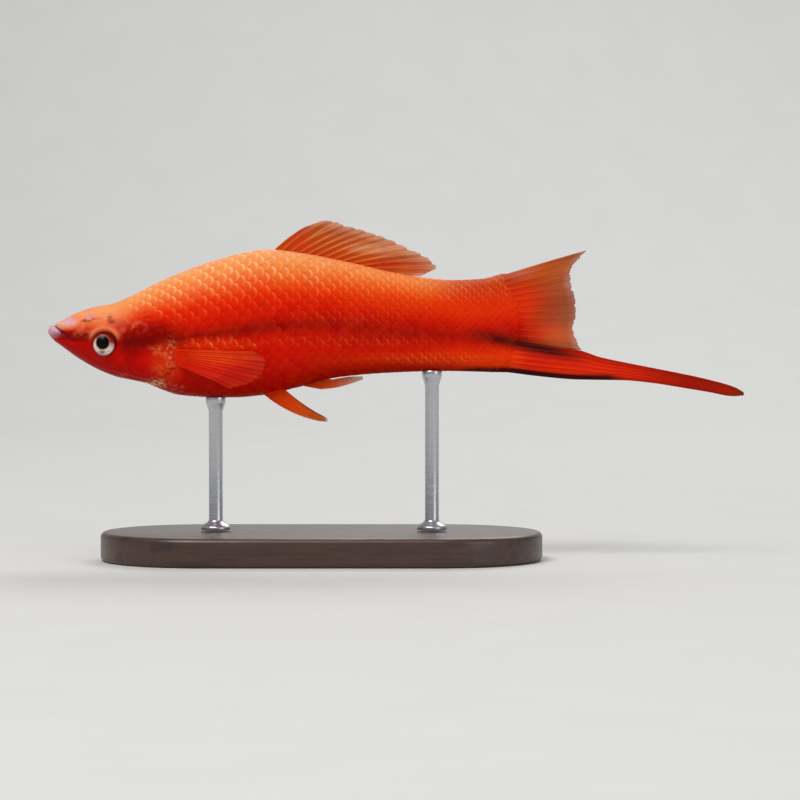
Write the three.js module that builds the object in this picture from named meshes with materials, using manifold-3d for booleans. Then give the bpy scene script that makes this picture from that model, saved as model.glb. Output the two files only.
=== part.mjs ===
// A male red swordtail, a small livebearing aquarium fish, as a life-size still model
// that swims level above a plain display stand.
// Millimetres, +Z up. The snout points to -X and the left flank faces -Y.
// The origin is on the ground, under the middle of the model's length and width.
// Places on the fish are given as u, the distance behind the snout tip, and h, the height
// above the lowest point of the belly.

import * as THREE from "three";
import { mergeVertices } from "three/addons/utils/BufferGeometryUtils.js";
import Module from "manifold-3d";

const wasm = await Module();
wasm.setup();

// Driving dimensions
const TOTAL_LENGTH = 120;
const BODY_LENGTH = 79;
const SNOUT_X = -TOTAL_LENGTH / 2;
const BELLY_Z = 28;
const GAP = 0.3;
const TAIL_SWAY = 3.2;
const SWAY_START = 56;

// Outlines of the body seen from the side and from above, as [u, size] pairs
const BACK = [
  [0, 12.3], [1.7, 12.75], [4.1, 14.25], [7.9, 15.6], [11.3, 16.25], [14.4, 17.6], [20.9, 20.7],
  [27.8, 23.3], [34.7, 25.1], [38, 25.5], [43.3, 24.9], [52.1, 23.2], [60.8, 21.3],
  [69.6, 20.3], [75, 20.55], [79, 21.45],
];
const BELLY = [
  [0, 10.5], [2, 9.1], [5.5, 6.6], [8.9, 4.7], [12.3, 3.4], [15.8, 2.8], [19.2, 1.5], [22.7, 0.4],
  [28, 0.03], [32, 0], [36.8, 0.4], [42.4, 1.6], [49.5, 3.4], [58.2, 4.2], [67.4, 4.5], [79, 4.25],
];
const HALF_WIDTH = [
  [0, 1.9], [2, 2.6], [4.1, 3.3], [7, 4.15], [10, 4.8], [13, 5.3], [17.5, 5.9], [24, 6.3], [32, 6.3],
  [40, 5.7], [48, 4.75], [56, 3.8], [64, 3.05], [70, 2.5], [75, 1.9], [79, 1.3],
];
// Share of the depth at which the body is widest, and how square its upper and lower halves are
const WIDEST = [[0, 0.5], [10, 0.5], [20, 0.5], [32, 0.47], [50, 0.5], [79, 0.5]];
const SQUARE_ABOVE = [[0, 2.3], [6, 2.7], [12, 2.5], [20, 2.15], [36, 1.95], [60, 2.05], [79, 2.3]];
const SQUARE_BELOW = [[0, 2.1], [10, 1.85], [20, 2.1], [32, 2.2], [46, 1.85], [60, 2.0], [79, 2.3]];
const NOSE_ROUND = 1.5;
const NOSE_HEIGHT = 11.3;
const RING_POINTS = 40;

// Slope of a smooth curve through [x, value] pairs at pair k
function slopeAt(pairs, k) {
  const rise = (i) => (pairs[i + 1][1] - pairs[i][1]) / (pairs[i + 1][0] - pairs[i][0]);
  if (k === 0) return rise(0);
  if (k === pairs.length - 1) return rise(k - 1);
  const before = rise(k - 1);
  const after = rise(k);
  return before * after <= 0 ? 0 : (2 * before * after) / (before + after);
}

// Value at x of the smooth curve through [x, value] pairs, which never overshoots them
function along(pairs, x) {
  const last = pairs.length - 1;
  if (x <= pairs[0][0]) return pairs[0][1];
  if (x >= pairs[last][0]) return pairs[last][1];
  const i = pairs.findIndex((pair, k) => k < last && x <= pairs[k + 1][0]);
  const [x0, y0] = pairs[i];
  const [x1, y1] = pairs[i + 1];
  const width = x1 - x0;
  const t = (x - x0) / width;
  const ease = t * t * (3 - 2 * t);
  const bend = t * (1 - t) * width;
  return y0 + (y1 - y0) * ease + bend * ((1 - t) * slopeAt(pairs, i) - t * slopeAt(pairs, i + 1));
}

const mix = (a, b, t) => a + (b - a) * t;

// Sideways sway of the tail at u, away from the left side
function sway(u) {
  const t = Math.max(0, u - SWAY_START) / (TOTAL_LENGTH - SWAY_START);
  return TAIL_SWAY * t * t;
}

// Sizes of the body's cross-section at u, grown by grow all round
function section(u, grow = 0) {
  const cap = u < NOSE_ROUND ? Math.sqrt(1 - (1 - u / NOSE_ROUND) ** 2) : 1;
  const top = NOSE_HEIGHT + (along(BACK, u) - NOSE_HEIGHT) * cap + grow;
  const bottom = NOSE_HEIGHT + (along(BELLY, u) - NOSE_HEIGHT) * cap - grow;
  const middle = mix(bottom, top, along(WIDEST, u));
  return {
    half: along(HALF_WIDTH, u) * cap + grow,
    middle,
    above: top - middle,
    below: middle - bottom,
    squareAbove: along(SQUARE_ABOVE, u),
    squareBelow: along(SQUARE_BELOW, u),
  };
}

// Half-width of the body at u and height h
function halfWidthAt(u, h) {
  const s = section(u);
  const square = h > s.middle ? s.squareAbove : s.squareBelow;
  const reach = Math.abs(h - s.middle) / (h > s.middle ? s.above : s.below);
  return s.half * Math.max(0, 1 - reach ** square) ** (1 / square);
}

// Points round the body at u, grown by grow
function ring(u, grow) {
  const s = section(u, grow);
  return Array.from({ length: RING_POINTS }, (_, k) => {
    const angle = (2 * Math.PI * k) / RING_POINTS;
    const square = Math.sin(angle) > 0 ? s.squareAbove : s.squareBelow;
    const side = Math.sign(Math.cos(angle)) * Math.abs(Math.cos(angle)) ** (2 / square);
    const rise = Math.sign(Math.sin(angle)) * Math.abs(Math.sin(angle)) ** (2 / square);
    const height = rise > 0 ? s.above : s.below;
    return [SNOUT_X + u, sway(u) + s.half * side, BELLY_Z + s.middle + height * rise];
  });
}

// A closed solid from points and triangles, turned so that its faces point outwards
function solidFrom(points, triangles) {
  const at = (i) => new THREE.Vector3(...points[i]);
  const volume = triangles.reduce((sum, [a, b, c]) => sum + at(a).dot(at(b).cross(at(c))), 0);
  const faces = volume < 0 ? triangles.map(([a, b, c]) => [a, c, b]) : triangles;
  return new wasm.Manifold(
    new wasm.Mesh({
      numProp: 3,
      vertProperties: new Float32Array(points.flat()),
      triVerts: new Uint32Array(faces.flat()),
    }),
  );
}

// A closed solid from a closed three.js geometry
function solidOf(geometry) {
  const bare = geometry.clone();
  bare.deleteAttribute("normal");
  bare.deleteAttribute("uv");
  const merged = mergeVertices(bare, 1e-4);
  const position = merged.getAttribute("position");
  const points = Array.from({ length: position.count }, (_, i) => [
    position.getX(i), position.getY(i), position.getZ(i),
  ]);
  const index = Array.from(merged.index.array);
  const triangles = [];
  for (let i = 0; i < index.length; i += 3) {
    const [a, b, c] = index.slice(i, i + 3);
    if (a !== b && b !== c && a !== c) triangles.push([a, b, c]);
  }
  return solidFrom(points, triangles);
}

// The largest closed surface of a solid that cutting may have split
function largest(solid) {
  const pieces = solid.decompose();
  return pieces.reduce((best, piece) => (piece.volume() > best.volume() ? piece : best));
}

// The body between the stations in us, grown by grow. A station at 0 is the snout tip.
function bodyLoft(us, grow = 0) {
  const points = [];
  const triangles = [];
  const rings = us.map((u) => {
    const first = points.length;
    const round = ring(u, grow);
    points.push(...(u === 0 && grow === 0 ? [round[0]] : round));
    return { first, count: points.length - first };
  });
  rings.slice(1).forEach((next, i) => {
    const here = rings[i];
    for (let k = 0; k < RING_POINTS; k++) {
      const k2 = (k + 1) % RING_POINTS;
      if (here.count === 1) {
        triangles.push([here.first, next.first + k, next.first + k2]);
      } else {
        triangles.push([here.first + k, next.first + k, next.first + k2]);
        triangles.push([here.first + k, next.first + k2, here.first + k2]);
      }
    }
  });
  const close = (r, flip) => {
    if (r.count === 1) return;
    const centre = points.length;
    const sum = [0, 1, 2].map((axis) => {
      const values = points.slice(r.first, r.first + RING_POINTS).map((p) => p[axis]);
      return values.reduce((a, b) => a + b) / RING_POINTS;
    });
    points.push(sum);
    for (let k = 0; k < RING_POINTS; k++) {
      const pair = [r.first + k, r.first + ((k + 1) % RING_POINTS)];
      triangles.push(flip ? [centre, pair[1], pair[0]] : [centre, pair[0], pair[1]]);
    }
  };
  close(rings[0], false);
  close(rings[rings.length - 1], true);
  return solidFrom(points, triangles);
}

// Evenly spaced values from a to b, n steps
const spaced = (a, b, n) => Array.from({ length: n + 1 }, (_, i) => mix(a, b, i / n));

// A slab whose side-view outline is a list of [u, h] points, from y = low to y = high
function slab(outline, low, high) {
  const shape = new THREE.Shape(outline.map(([u, h]) => new THREE.Vector2(SNOUT_X + u, BELLY_Z + h)));
  const geometry = new THREE.ExtrudeGeometry(shape, { depth: high - low, bevelEnabled: false });
  geometry.rotateX(Math.PI / 2);
  geometry.translate(0, high, 0);
  return solidOf(geometry);
}

// A line of [u, h] points moved by distance to its left as it is walked
function beside(line, distance) {
  return line.map(([u, h], i) => {
    const [u0, h0] = line[Math.max(0, i - 1)];
    const [u1, h1] = line[Math.min(line.length - 1, i + 1)];
    const length = Math.hypot(u1 - u0, h1 - h0);
    return [u - (distance * (h1 - h0)) / length, h + (distance * (u1 - u0)) / length];
  });
}

// A line of [u, h] points made smooth, with n steps
function smoothLine(points, n) {
  const curve = new THREE.SplineCurve(points.map(([u, h]) => new THREE.Vector2(u, h)));
  return curve.getPoints(n).map((p) => [p.x, p.y]);
}

// Whole body, and the same body grown by the gap that fins and rods keep from it
const NOSE_STATIONS = [0, 0.12, 0.35, 0.7, 1.1, 1.5, 2.1, 2.8];
const bodyStations = [...NOSE_STATIONS, ...spaced(3.6, 22, 18), ...spaced(24, 75, 22), ...spaced(76.4, 79, 2)];
const body = bodyLoft(bodyStations);
const clearOfBody = bodyLoft([...spaced(18, 75, 28), ...spaced(76.4, 79.2, 2)], GAP);

// The gill cover's free edge, walked from the nape to the throat, and the line of its front
const GILL_EDGE = smoothLine(
  [[15.6, 22], [16, 17.5], [17.4, 13.6], [20.4, 11], [22.2, 8.3], [21.6, 5.2], [19.2, 3.1], [16.6, 2.2], [15.6, -2]],
  28,
);
const GILL_TOP = 12.6;
const GILL_BOTTOM = 3.6;
const GILL_FRONT = smoothLine([[15.9, 3.6], [14.3, 5.4], [13.9, 8.5], [15.1, 11.4], [18, 12.6]], 10);
const GILL_RAISED = 0.22;
const GILL_THICK = 0.9;

// All that lies on one side of a line walked downwards, less half a gap, out to u at the far end
const HALF_GAP = GAP / 2;
const FAR = 34;
const UNDER = -3;
const FAR_BEHIND = 95;
const FAR_BEFORE = -5;
function partOff(line, distance, farEnd) {
  const [lastU] = line[line.length - 1];
  const corners = [[lastU, UNDER], [farEnd, UNDER], [farEnd, FAR], [line[0][0], FAR]];
  return slab([...beside(line, distance), ...corners], -FAR, FAR);
}
const allBehind = (line) => partOff(line, HALF_GAP, FAR_BEHIND);
const allBefore = (line) => partOff(line, -HALF_GAP, FAR_BEFORE);

// Mouth: the line of the lips from the front of the snout back to the corner, then down to the chin
const MOUTH_FRONT = [1.25, 12.5];
const MOUTH_CORNER = [3, 11.15];
const CHIN = [4.4, 7.1];
const MOUTH_LINE = [[0.2, 13.5], MOUTH_FRONT, MOUTH_CORNER, [3.8, 9.5], CHIN, [4.2, 5]];
const UPPER_LIP = { radius: 0.62, offset: 0.58 };

// Upper lip: a tube laid round the snout along the mouth, whose two ends sink into the cheeks
function upperLip() {
  const line = beside([MOUTH_FRONT, MOUTH_CORNER], UPPER_LIP.offset);
  const side = spaced(0, 1, 6).map((t) => {
    const u = mix(line[0][0], line[1][0], t);
    const h = mix(line[0][1], line[1][1], t);
    return [u, h, halfWidthAt(u, h) * mix(0.97, 0.7, t ** 3)];
  });
  const left = side.slice().reverse().map(([u, h, y]) => [u, h, -y]);
  const route = [...left, ...side.slice(1)].map(([u, h, y]) => new THREE.Vector3(SNOUT_X + u, y, BELLY_Z + h));
  const circle = new THREE.Shape().absarc(0, 0, UPPER_LIP.radius, 0, 2 * Math.PI);
  const path = new THREE.CatmullRomCurve3(route);
  return solidOf(
    new THREE.ExtrudeGeometry(circle, { extrudePath: path, steps: 20, curveSegments: 4, bevelEnabled: false }),
  );
}

// A stretched ball with centre at u, y, h
function ball(u, y, h, size, segments) {
  const geometry = new THREE.SphereGeometry(1, segments, Math.round(segments * 0.6));
  geometry.rotateX(Math.PI / 2);
  geometry.scale(...size);
  geometry.translate(SNOUT_X + u, y, BELLY_Z + h);
  return solidOf(geometry);
}

// Eyes, their sockets and the raised rims round them
const EYE = { u: 10.1, h: 9.3, radius: 2.3, deep: 1.5, sunk: 0.72 };
const EYE_Y = halfWidthAt(EYE.u, EYE.h) - EYE.sunk;
const eyeball = (side, grow) =>
  ball(EYE.u, side * EYE_Y, EYE.h, [EYE.radius + grow, EYE.deep + grow, EYE.radius + grow], 20);

const RIM = { radius: 2.75, thick: 0.42, sunk: 0.16 };
function eyeRim(side) {
  const geometry = new THREE.TorusGeometry(RIM.radius, RIM.thick, 8, 26);
  geometry.rotateX(Math.PI / 2);
  // The head narrows towards the snout, so the rim turns with its surface.
  const reach = EYE.radius;
  const narrowing = halfWidthAt(EYE.u + reach, EYE.h) - halfWidthAt(EYE.u - reach, EYE.h);
  geometry.rotateZ(side * Math.atan2(narrowing, 2 * reach));
  geometry.translate(SNOUT_X + EYE.u, side * (halfWidthAt(EYE.u, EYE.h) - RIM.sunk), BELLY_Z + EYE.h);
  return solidOf(geometry);
}

// Nostrils: two small pits on each side, between the eye and the upper lip
const NOSTRILS = [[6.6, 13.3], [8.1, 13.5]];
const NOSTRIL_SIZE = [0.36, 0.7, 0.3];
const nostril = ([u, h], side) => ball(u, side * halfWidthAt(u, h), h, NOSTRIL_SIZE, 8);

// Gill covers: plates that lie in pockets of the head and stand a little proud of the flank
const GILL_MIDDLE = [18, 8.1];
const GILL_REACH = [3.6, 4.4];
function gillOutline(grow) {
  const rear = GILL_EDGE.filter(([, h]) => h < GILL_TOP && h > GILL_BOTTOM);
  const outline = [...beside(rear, -HALF_GAP), ...GILL_FRONT];
  return outline.map((spot) => spot.map((v, k) => GILL_MIDDLE[k] + (v - GILL_MIDDLE[k]) * (1 + grow / GILL_REACH[k])));
}
const gillStations = spaced(11, 25, 14);
const gillOuter = bodyLoft(gillStations, GILL_RAISED);
const gillInner = bodyLoft(gillStations, GILL_RAISED - GILL_THICK);
const gillBed = bodyLoft(gillStations, GILL_RAISED - GILL_THICK - GAP);
const oneSide = (outline, side) => slab(outline, side < 0 ? -FAR : 1, side < 0 ? -1 : FAR);
const gillCover = (side) => oneSide(gillOutline(0), side).intersect(gillOuter).subtract(gillInner);
const gillPocket = (side) => oneSide(gillOutline(GAP), side).subtract(gillBed);

// Head and lower jaw, parted along the mouth line
function makeHead() {
  let head = body.intersect(allBefore(GILL_EDGE)).add(upperLip());
  for (const side of [-1, 1]) head = head.add(eyeRim(side));
  head = head.intersect(allBehind(MOUTH_LINE));
  for (const side of [-1, 1]) {
    head = head.subtract(eyeball(side, GAP)).subtract(gillPocket(side));
    for (const place of NOSTRILS) head = head.subtract(nostril(place, side));
  }
  return largest(head);
}

const LOWER_LIP = { u: 1.42, h: 11.1, size: [1.4, 2.25, 1.15] };
function makeJaw() {
  const knob = ball(LOWER_LIP.u, 0, LOWER_LIP.h, LOWER_LIP.size, 18);
  return largest(body.add(knob).intersect(allBefore(MOUTH_LINE)));
}

// Trunk and tail stem, parted behind the belly
const STEM_START = 50;
const STEM_LINE = smoothLine([[STEM_START + 1, 30], [STEM_START - 0.6, 14], [STEM_START + 1, -2]], 8);

// Fins: each ray is a ridge of the fin's own surface, with thinner membrane between, which
// ends a little short of the rays' tips.
const MEMBRANE_REACH = 0.965;

// A thin blade of n rays. spot gives [u, h] from the share s across the rays and t along them,
// middle the place across the fish, and thick the half-thickness [ray, membrane].
function blade({ rays, rows, spot, middle, thick }) {
  const columns = 2 * rays - 1;
  const points = [];
  const faces = [];
  for (const side of [-1, 1]) {
    for (let c = 0; c < columns; c++) {
      const between = c % 2 === 1;
      for (let r = 0; r <= rows; r++) {
        const s = c / (columns - 1);
        const t = (r / rows) * (between ? MEMBRANE_REACH : 1);
        const [u, h] = spot(s, t);
        const half = thick(t)[between ? 1 : 0];
        points.push([SNOUT_X + u, middle(u, h, s, t) + side * half, BELLY_Z + h]);
      }
    }
  }
  const back = columns * (rows + 1);
  const at = (c, r) => c * (rows + 1) + r;
  for (let c = 0; c < columns - 1; c++) {
    for (let r = 0; r < rows; r++) {
      const [a, b, d, e] = [at(c, r), at(c + 1, r), at(c + 1, r + 1), at(c, r + 1)];
      faces.push([a, b, d], [a, d, e]);
      faces.push([back + a, back + d, back + b], [back + a, back + e, back + d]);
    }
  }
  const rim = [];
  for (let c = 0; c < columns - 1; c++) rim.push(at(c, 0));
  for (let r = 0; r < rows; r++) rim.push(at(columns - 1, r));
  for (let c = columns - 1; c > 0; c--) rim.push(at(c, rows));
  for (let r = rows; r > 0; r--) rim.push(at(0, r));
  rim.forEach((a, i) => {
    const b = rim[(i + 1) % rim.length];
    faces.push([b, a, back + a], [b, back + a, back + b]);
  });
  return solidFrom(points, faces);
}

// A ray that leaves its root, passes a bend and ends at its tip
function rayPoint(root, bend, tip, t) {
  const a = (1 - t) * (1 - t);
  const b = 2 * t * (1 - t);
  const c = t * t;
  return [a * root[0] + b * bend[0] + c * tip[0], a * root[1] + b * bend[1] + c * tip[1]];
}

// Dorsal fin, laid back: tips of its rays across the fin
const DORSAL = { start: 38.5, end: 55.8, rays: 13 };
const DORSAL_TIP_U = [
  [0, 44.2], [0.1, 48.2], [0.2, 51.2], [0.35, 54.6], [0.55, 58.8], [0.72, 62.8], [0.86, 66.4], [0.93, 67], [1, 64.2],
];
const DORSAL_TIP_H = [
  [0, 29.4], [0.1, 30.6], [0.2, 29.7], [0.35, 28.8], [0.55, 27.3], [0.72, 25.4], [0.86, 23.4], [0.93, 22.2], [1, 21],
];
function makeDorsal() {
  const spot = (s, t) => {
    const u = mix(DORSAL.start, DORSAL.end, s);
    const root = [u, along(BACK, u) - 0.5];
    const tip = [along(DORSAL_TIP_U, s), along(DORSAL_TIP_H, s)];
    const bend = [mix(root[0], tip[0], 0.42), mix(root[1], tip[1], mix(0.56, 0.7, s))];
    return rayPoint(root, bend, tip, t);
  };
  const fin = blade({
    rays: DORSAL.rays,
    rows: 9,
    spot,
    middle: (u, h, s, t) => sway(u) + 0.5 * t * t * Math.sin(5 * s),
    thick: (t) => [mix(0.55, 0.36, t), mix(0.34, 0.25, t)],
  });
  return largest(fin.subtract(clearOfBody));
}

// Tail fin above the sword
const FIN_ROOT = BODY_LENGTH + GAP;
const TAIL = { top: 21.4, bottom: 10.1, rays: 12 };
const TAIL_TIP_U = [[0, 92.8], [0.09, 91.3], [0.18, 90], [0.32, 90.1], [0.48, 90.9], [0.62, 91], [0.8, 90.5], [1, 91.6]];
const TAIL_TIP_H = [[0, 25.4], [0.09, 23.7], [0.18, 21.9], [0.32, 19.6], [0.48, 16.9], [0.62, 14.5], [0.8, 11.8], [1, 8.75]];
function makeTailFin() {
  const spot = (s, t) => {
    const root = [FIN_ROOT, mix(TAIL.top, TAIL.bottom, s)];
    const tip = [along(TAIL_TIP_U, s), along(TAIL_TIP_H, s)];
    const bend = [mix(root[0], tip[0], 0.5), mix(root[1], tip[1], mix(0.53, 0.5, s))];
    return rayPoint(root, bend, tip, t);
  };
  return blade({
    rays: TAIL.rays,
    rows: 9,
    spot,
    middle: (u, h, s, t) => sway(u) + 0.45 * t * Math.sin(4 * s),
    thick: (t) => [mix(0.9, 0.36, Math.sqrt(t)), mix(0.7, 0.25, Math.sqrt(t))],
  });
}

// Sword: the long lower rays of the tail fin, with its upper and lower edges as [u, h] pairs
const SWORD_TOP = [
  [79, 9.65], [85.4, 8.95], [91.2, 8.2], [94.9, 7.0], [99, 6.1], [103.8, 5.15], [108.6, 4.2], [113.4, 3.15],
  [118.3, 1.75], [120, 0.8],
];
const SWORD_BOTTOM = [
  [79, 4.35], [86, 3.5], [91, 3.1], [99, 2.95], [103.8, 2.5], [108.6, 1.75], [113.4, 0.95], [118.3, 0.15], [120, 0.3],
];
const SWORD_RAYS = 6;
function makeSword() {
  const spot = (s, t) => {
    const u = mix(FIN_ROOT, TOTAL_LENGTH, t);
    return [u, mix(along(SWORD_TOP, u), along(SWORD_BOTTOM, u), s)];
  };
  return blade({
    rays: SWORD_RAYS,
    rows: 20,
    spot,
    middle: (u) => sway(u),
    thick: (t) => [mix(0.9, 0.33, Math.sqrt(t)), mix(0.66, 0.25, Math.sqrt(t))],
  });
}

// Paired pectoral fins, spread along the flank behind the gill covers
const PECTORAL = { rays: 11, topRoot: [22.75, 8.5], bottomRoot: [22.75, 5.7] };
const PECTORAL_TIP_U = [[0, 36], [0.25, 38], [0.5, 37.5], [0.75, 35.4], [1, 31.8]];
const PECTORAL_TIP_H = [[0, 8.1], [0.25, 6.6], [0.5, 4.6], [0.75, 2.7], [1, 1.7]];
const PECTORAL_FLARE = 1.4;
function makePectoral(side) {
  const spot = (s, t) => {
    const root = [0, 1].map((k) => mix(PECTORAL.topRoot[k], PECTORAL.bottomRoot[k], s));
    const tip = [along(PECTORAL_TIP_U, s), along(PECTORAL_TIP_H, s)];
    const bend = [mix(root[0], tip[0], 0.5), mix(root[1], tip[1], 0.42)];
    return rayPoint(root, bend, tip, t);
  };
  const rootSide = halfWidthAt(PECTORAL.topRoot[0], 7);
  const middle = (u, h, s, t) => {
    const half = mix(0.5, 0.34, t);
    const onSkin = halfWidthAt(u, h) + GAP + 0.06 + half;
    const spread = rootSide + GAP + half + PECTORAL_FLARE * t;
    return side * Math.max(onSkin, mix(onSkin, spread, Math.min(1, 1.6 * t)));
  };
  return blade({
    rays: PECTORAL.rays,
    rows: 8,
    spot,
    middle,
    thick: (t) => [mix(0.5, 0.34, t), mix(0.33, 0.25, t)],
  });
}

// Paired pelvic fins under the belly
const PELVIC = { rays: 6, frontRoot: [37.2, 0], rearRoot: [40.6, 0.9], apart: 1.25, splay: 0.28 };
const PELVIC_TIP_U = [[0, 47], [0.3, 48.3], [0.65, 48.1], [1, 46.2]];
const PELVIC_TIP_H = [[0, -4], [0.3, -4.1], [0.65, -3.7], [1, -2.7]];
function makePelvic(side) {
  const spot = (s, t) => {
    const root = [0, 1].map((k) => mix(PELVIC.frontRoot[k], PELVIC.rearRoot[k], s) + (k ? 0.55 : 0));
    const tip = [along(PELVIC_TIP_U, s), along(PELVIC_TIP_H, s)];
    const bend = [mix(root[0], tip[0], 0.45), mix(root[1], tip[1], mix(0.78, 0.55, s))];
    return rayPoint(root, bend, tip, t);
  };
  const fin = blade({
    rays: PELVIC.rays,
    rows: 7,
    spot,
    middle: (u, h) => side * (PELVIC.apart + PELVIC.splay * Math.max(0, 1 - h)),
    thick: (t) => [mix(0.55, 0.34, t), mix(0.36, 0.25, t)],
  });
  return largest(fin.subtract(clearOfBody));
}

// Anal fin of the male, a narrow rod of a few rays laid back under the belly
const ANAL = { rays: 4, frontRoot: 43.2, rearRoot: 46.2, tip: 54.2 };
const ANAL_TOP = [[43, 1.9], [47, 2.7], [50, 3.2], [52.5, 3.5], [54.2, 3.6]];
const ANAL_BOTTOM = [[43, 1.25], [46, 1.4], [49, 1.65], [51, 2.1], [52.9, 2.7], [54.2, 3.15]];
function makeAnal() {
  const spot = (s, t) => {
    const u = mix(mix(ANAL.frontRoot, ANAL.rearRoot, 1 - s), ANAL.tip, t);
    const free = [u, mix(along(ANAL_TOP, u), along(ANAL_BOTTOM, u), s)];
    const lift = Math.max(0, 1 - 3 * t) * mix(1.2, 0.9, s);
    return [free[0], free[1] + lift];
  };
  const fin = blade({
    rays: ANAL.rays,
    rows: 9,
    spot,
    middle: () => 0,
    thick: (t) => [mix(0.66, 0.36, t), mix(0.5, 0.26, t)],
  });
  return largest(fin.subtract(clearOfBody));
}

// Display stand: a flat base with rounded ends and two rods whose tops fit the fish's underside
const BASE = { length: 76, width: 36, high: 5, x: -13, edge: 0.9 };
const ROD = { radius: 1.2, collar: 2.6, collarHigh: 1.2, seat: 1.7, seatHigh: 1.2, neck: 1.4, reach: 0.55 };
const ROD_PLACES = { front: 28.8, rear: 66 };
function makeBase() {
  const half = BASE.length / 2 - BASE.edge;
  const round = BASE.width / 2 - BASE.edge;
  const shape = new THREE.Shape();
  shape.moveTo(-half + round, -round);
  shape.lineTo(half - round, -round);
  shape.absarc(half - round, 0, round, -Math.PI / 2, Math.PI / 2);
  shape.lineTo(-half + round, round);
  shape.absarc(-half + round, 0, round, Math.PI / 2, (3 * Math.PI) / 2);
  const geometry = new THREE.ExtrudeGeometry(shape, {
    depth: BASE.high - 2 * BASE.edge,
    bevelThickness: BASE.edge,
    bevelSize: BASE.edge,
    bevelSegments: 2,
    curveSegments: 14,
  });
  geometry.translate(BASE.x, 0, BASE.edge);
  return solidOf(geometry);
}

// A rod under the fish at u, with a collar at its foot and a flared seat at its head
function makeRod(u) {
  const foot = BASE.high + GAP;
  const top = BELLY_Z + along(BELLY, u) + ROD.reach;
  const flare = top - ROD.seatHigh;
  const profile = [
    [0, foot], [ROD.collar, foot], [ROD.collar, foot + ROD.collarHigh / 2], [ROD.radius, foot + ROD.collarHigh],
    [ROD.radius, flare - ROD.neck], [ROD.seat, flare], [ROD.seat, top], [0, top],
  ];
  const geometry = new THREE.LatheGeometry(profile.map(([r, z]) => new THREE.Vector2(r, z)), 18);
  geometry.rotateX(Math.PI / 2);
  geometry.translate(SNOUT_X + u, sway(u), 0);
  return largest(solidOf(geometry).subtract(clearOfBody));
}

// Colours and finishes
const finish = (color, roughness, metalness = 0) =>
  new THREE.MeshStandardMaterial({ color, roughness, metalness });
const skin = finish(0xd83c0c, 0.42);
const gillSkin = finish(0xd84a16, 0.38);
const lipSkin = finish(0xd79aa6, 0.45);
const finRed = finish(0xd2521a, 0.5);
const swordRed = finish(0xcf2008, 0.45);
const iris = finish(0xe9ddd2, 0.15);
const steel = finish(0xb9bcc0, 0.3, 1);
const wood = finish(0x2b2320, 0.4);

const swordtail = new THREE.Group();
function add(name, solid, material) {
  const made = solid.getMesh();
  const geometry = new THREE.BufferGeometry();
  const count = made.vertProperties.length / made.numProp;
  const position = new Float32Array(count * 3);
  for (let i = 0; i < count; i++) {
    position.set(made.vertProperties.subarray(i * made.numProp, i * made.numProp + 3), i * 3);
  }
  geometry.setAttribute("position", new THREE.BufferAttribute(position, 3));
  geometry.setIndex(new THREE.BufferAttribute(made.triVerts, 1));
  geometry.computeVertexNormals();
  const mesh = new THREE.Mesh(geometry, material);
  mesh.name = name;
  swordtail.add(mesh);
}

add("head", makeHead(), skin);
add("lower_jaw", makeJaw(), lipSkin);
for (const [name, side] of [["left", -1], ["right", 1]]) {
  add("eye_" + name, eyeball(side, 0), iris);
  add("gill_cover_" + name, largest(gillCover(side)), gillSkin);
  add("pectoral_fin_" + name, makePectoral(side), finRed);
  add("pelvic_fin_" + name, makePelvic(side), finRed);
}
add("trunk", largest(body.intersect(allBehind(GILL_EDGE)).intersect(allBefore(STEM_LINE))), skin);
add("tail_stem", largest(body.intersect(allBehind(STEM_LINE))), skin);
add("dorsal_fin", makeDorsal(), finRed);
add("tail_fin", makeTailFin(), finRed);
add("sword", makeSword(), swordRed);
add("anal_fin", makeAnal(), finRed);
add("stand_base", makeBase(), wood);
for (const [name, u] of Object.entries(ROD_PLACES)) add("stand_rod_" + name, makeRod(u), steel);

export default swordtail;
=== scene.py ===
# A male red swordtail as a life-size still model above a plain display stand: the looks of
# its skin, scales, fins, eyes and stand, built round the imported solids.
# Sizes are in millimetres until a mesh is placed, and in metres from then on.
# On the fish, u is the distance behind the snout tip, h the height above the lowest point of
# the belly, and the left flank faces -Y.

import math

import bmesh
import bpy
import numpy as np
from mathutils import Matrix, Vector


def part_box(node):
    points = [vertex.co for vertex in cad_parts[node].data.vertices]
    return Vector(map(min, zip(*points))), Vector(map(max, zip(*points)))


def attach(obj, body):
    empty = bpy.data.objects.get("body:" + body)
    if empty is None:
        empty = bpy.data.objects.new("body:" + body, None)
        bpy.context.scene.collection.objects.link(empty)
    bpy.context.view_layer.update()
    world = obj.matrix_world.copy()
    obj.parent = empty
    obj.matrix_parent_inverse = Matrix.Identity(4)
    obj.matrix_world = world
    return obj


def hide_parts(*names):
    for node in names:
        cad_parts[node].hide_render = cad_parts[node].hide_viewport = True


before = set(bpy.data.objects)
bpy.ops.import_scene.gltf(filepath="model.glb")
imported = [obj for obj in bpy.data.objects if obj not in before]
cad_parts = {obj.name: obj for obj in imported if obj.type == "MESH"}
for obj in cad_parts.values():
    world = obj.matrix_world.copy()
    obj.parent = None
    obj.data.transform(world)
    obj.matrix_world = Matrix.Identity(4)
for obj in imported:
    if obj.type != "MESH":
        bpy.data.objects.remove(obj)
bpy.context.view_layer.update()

# Driving dimensions of the fish, the same as in the solids
MM = 0.001
TOTAL_LENGTH = 120.0
BODY_LENGTH = 79.0
SNOUT_X = -60.0
BELLY_Z = 28.0
TAIL_SWAY = 3.2
SWAY_START = 56.0

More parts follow.
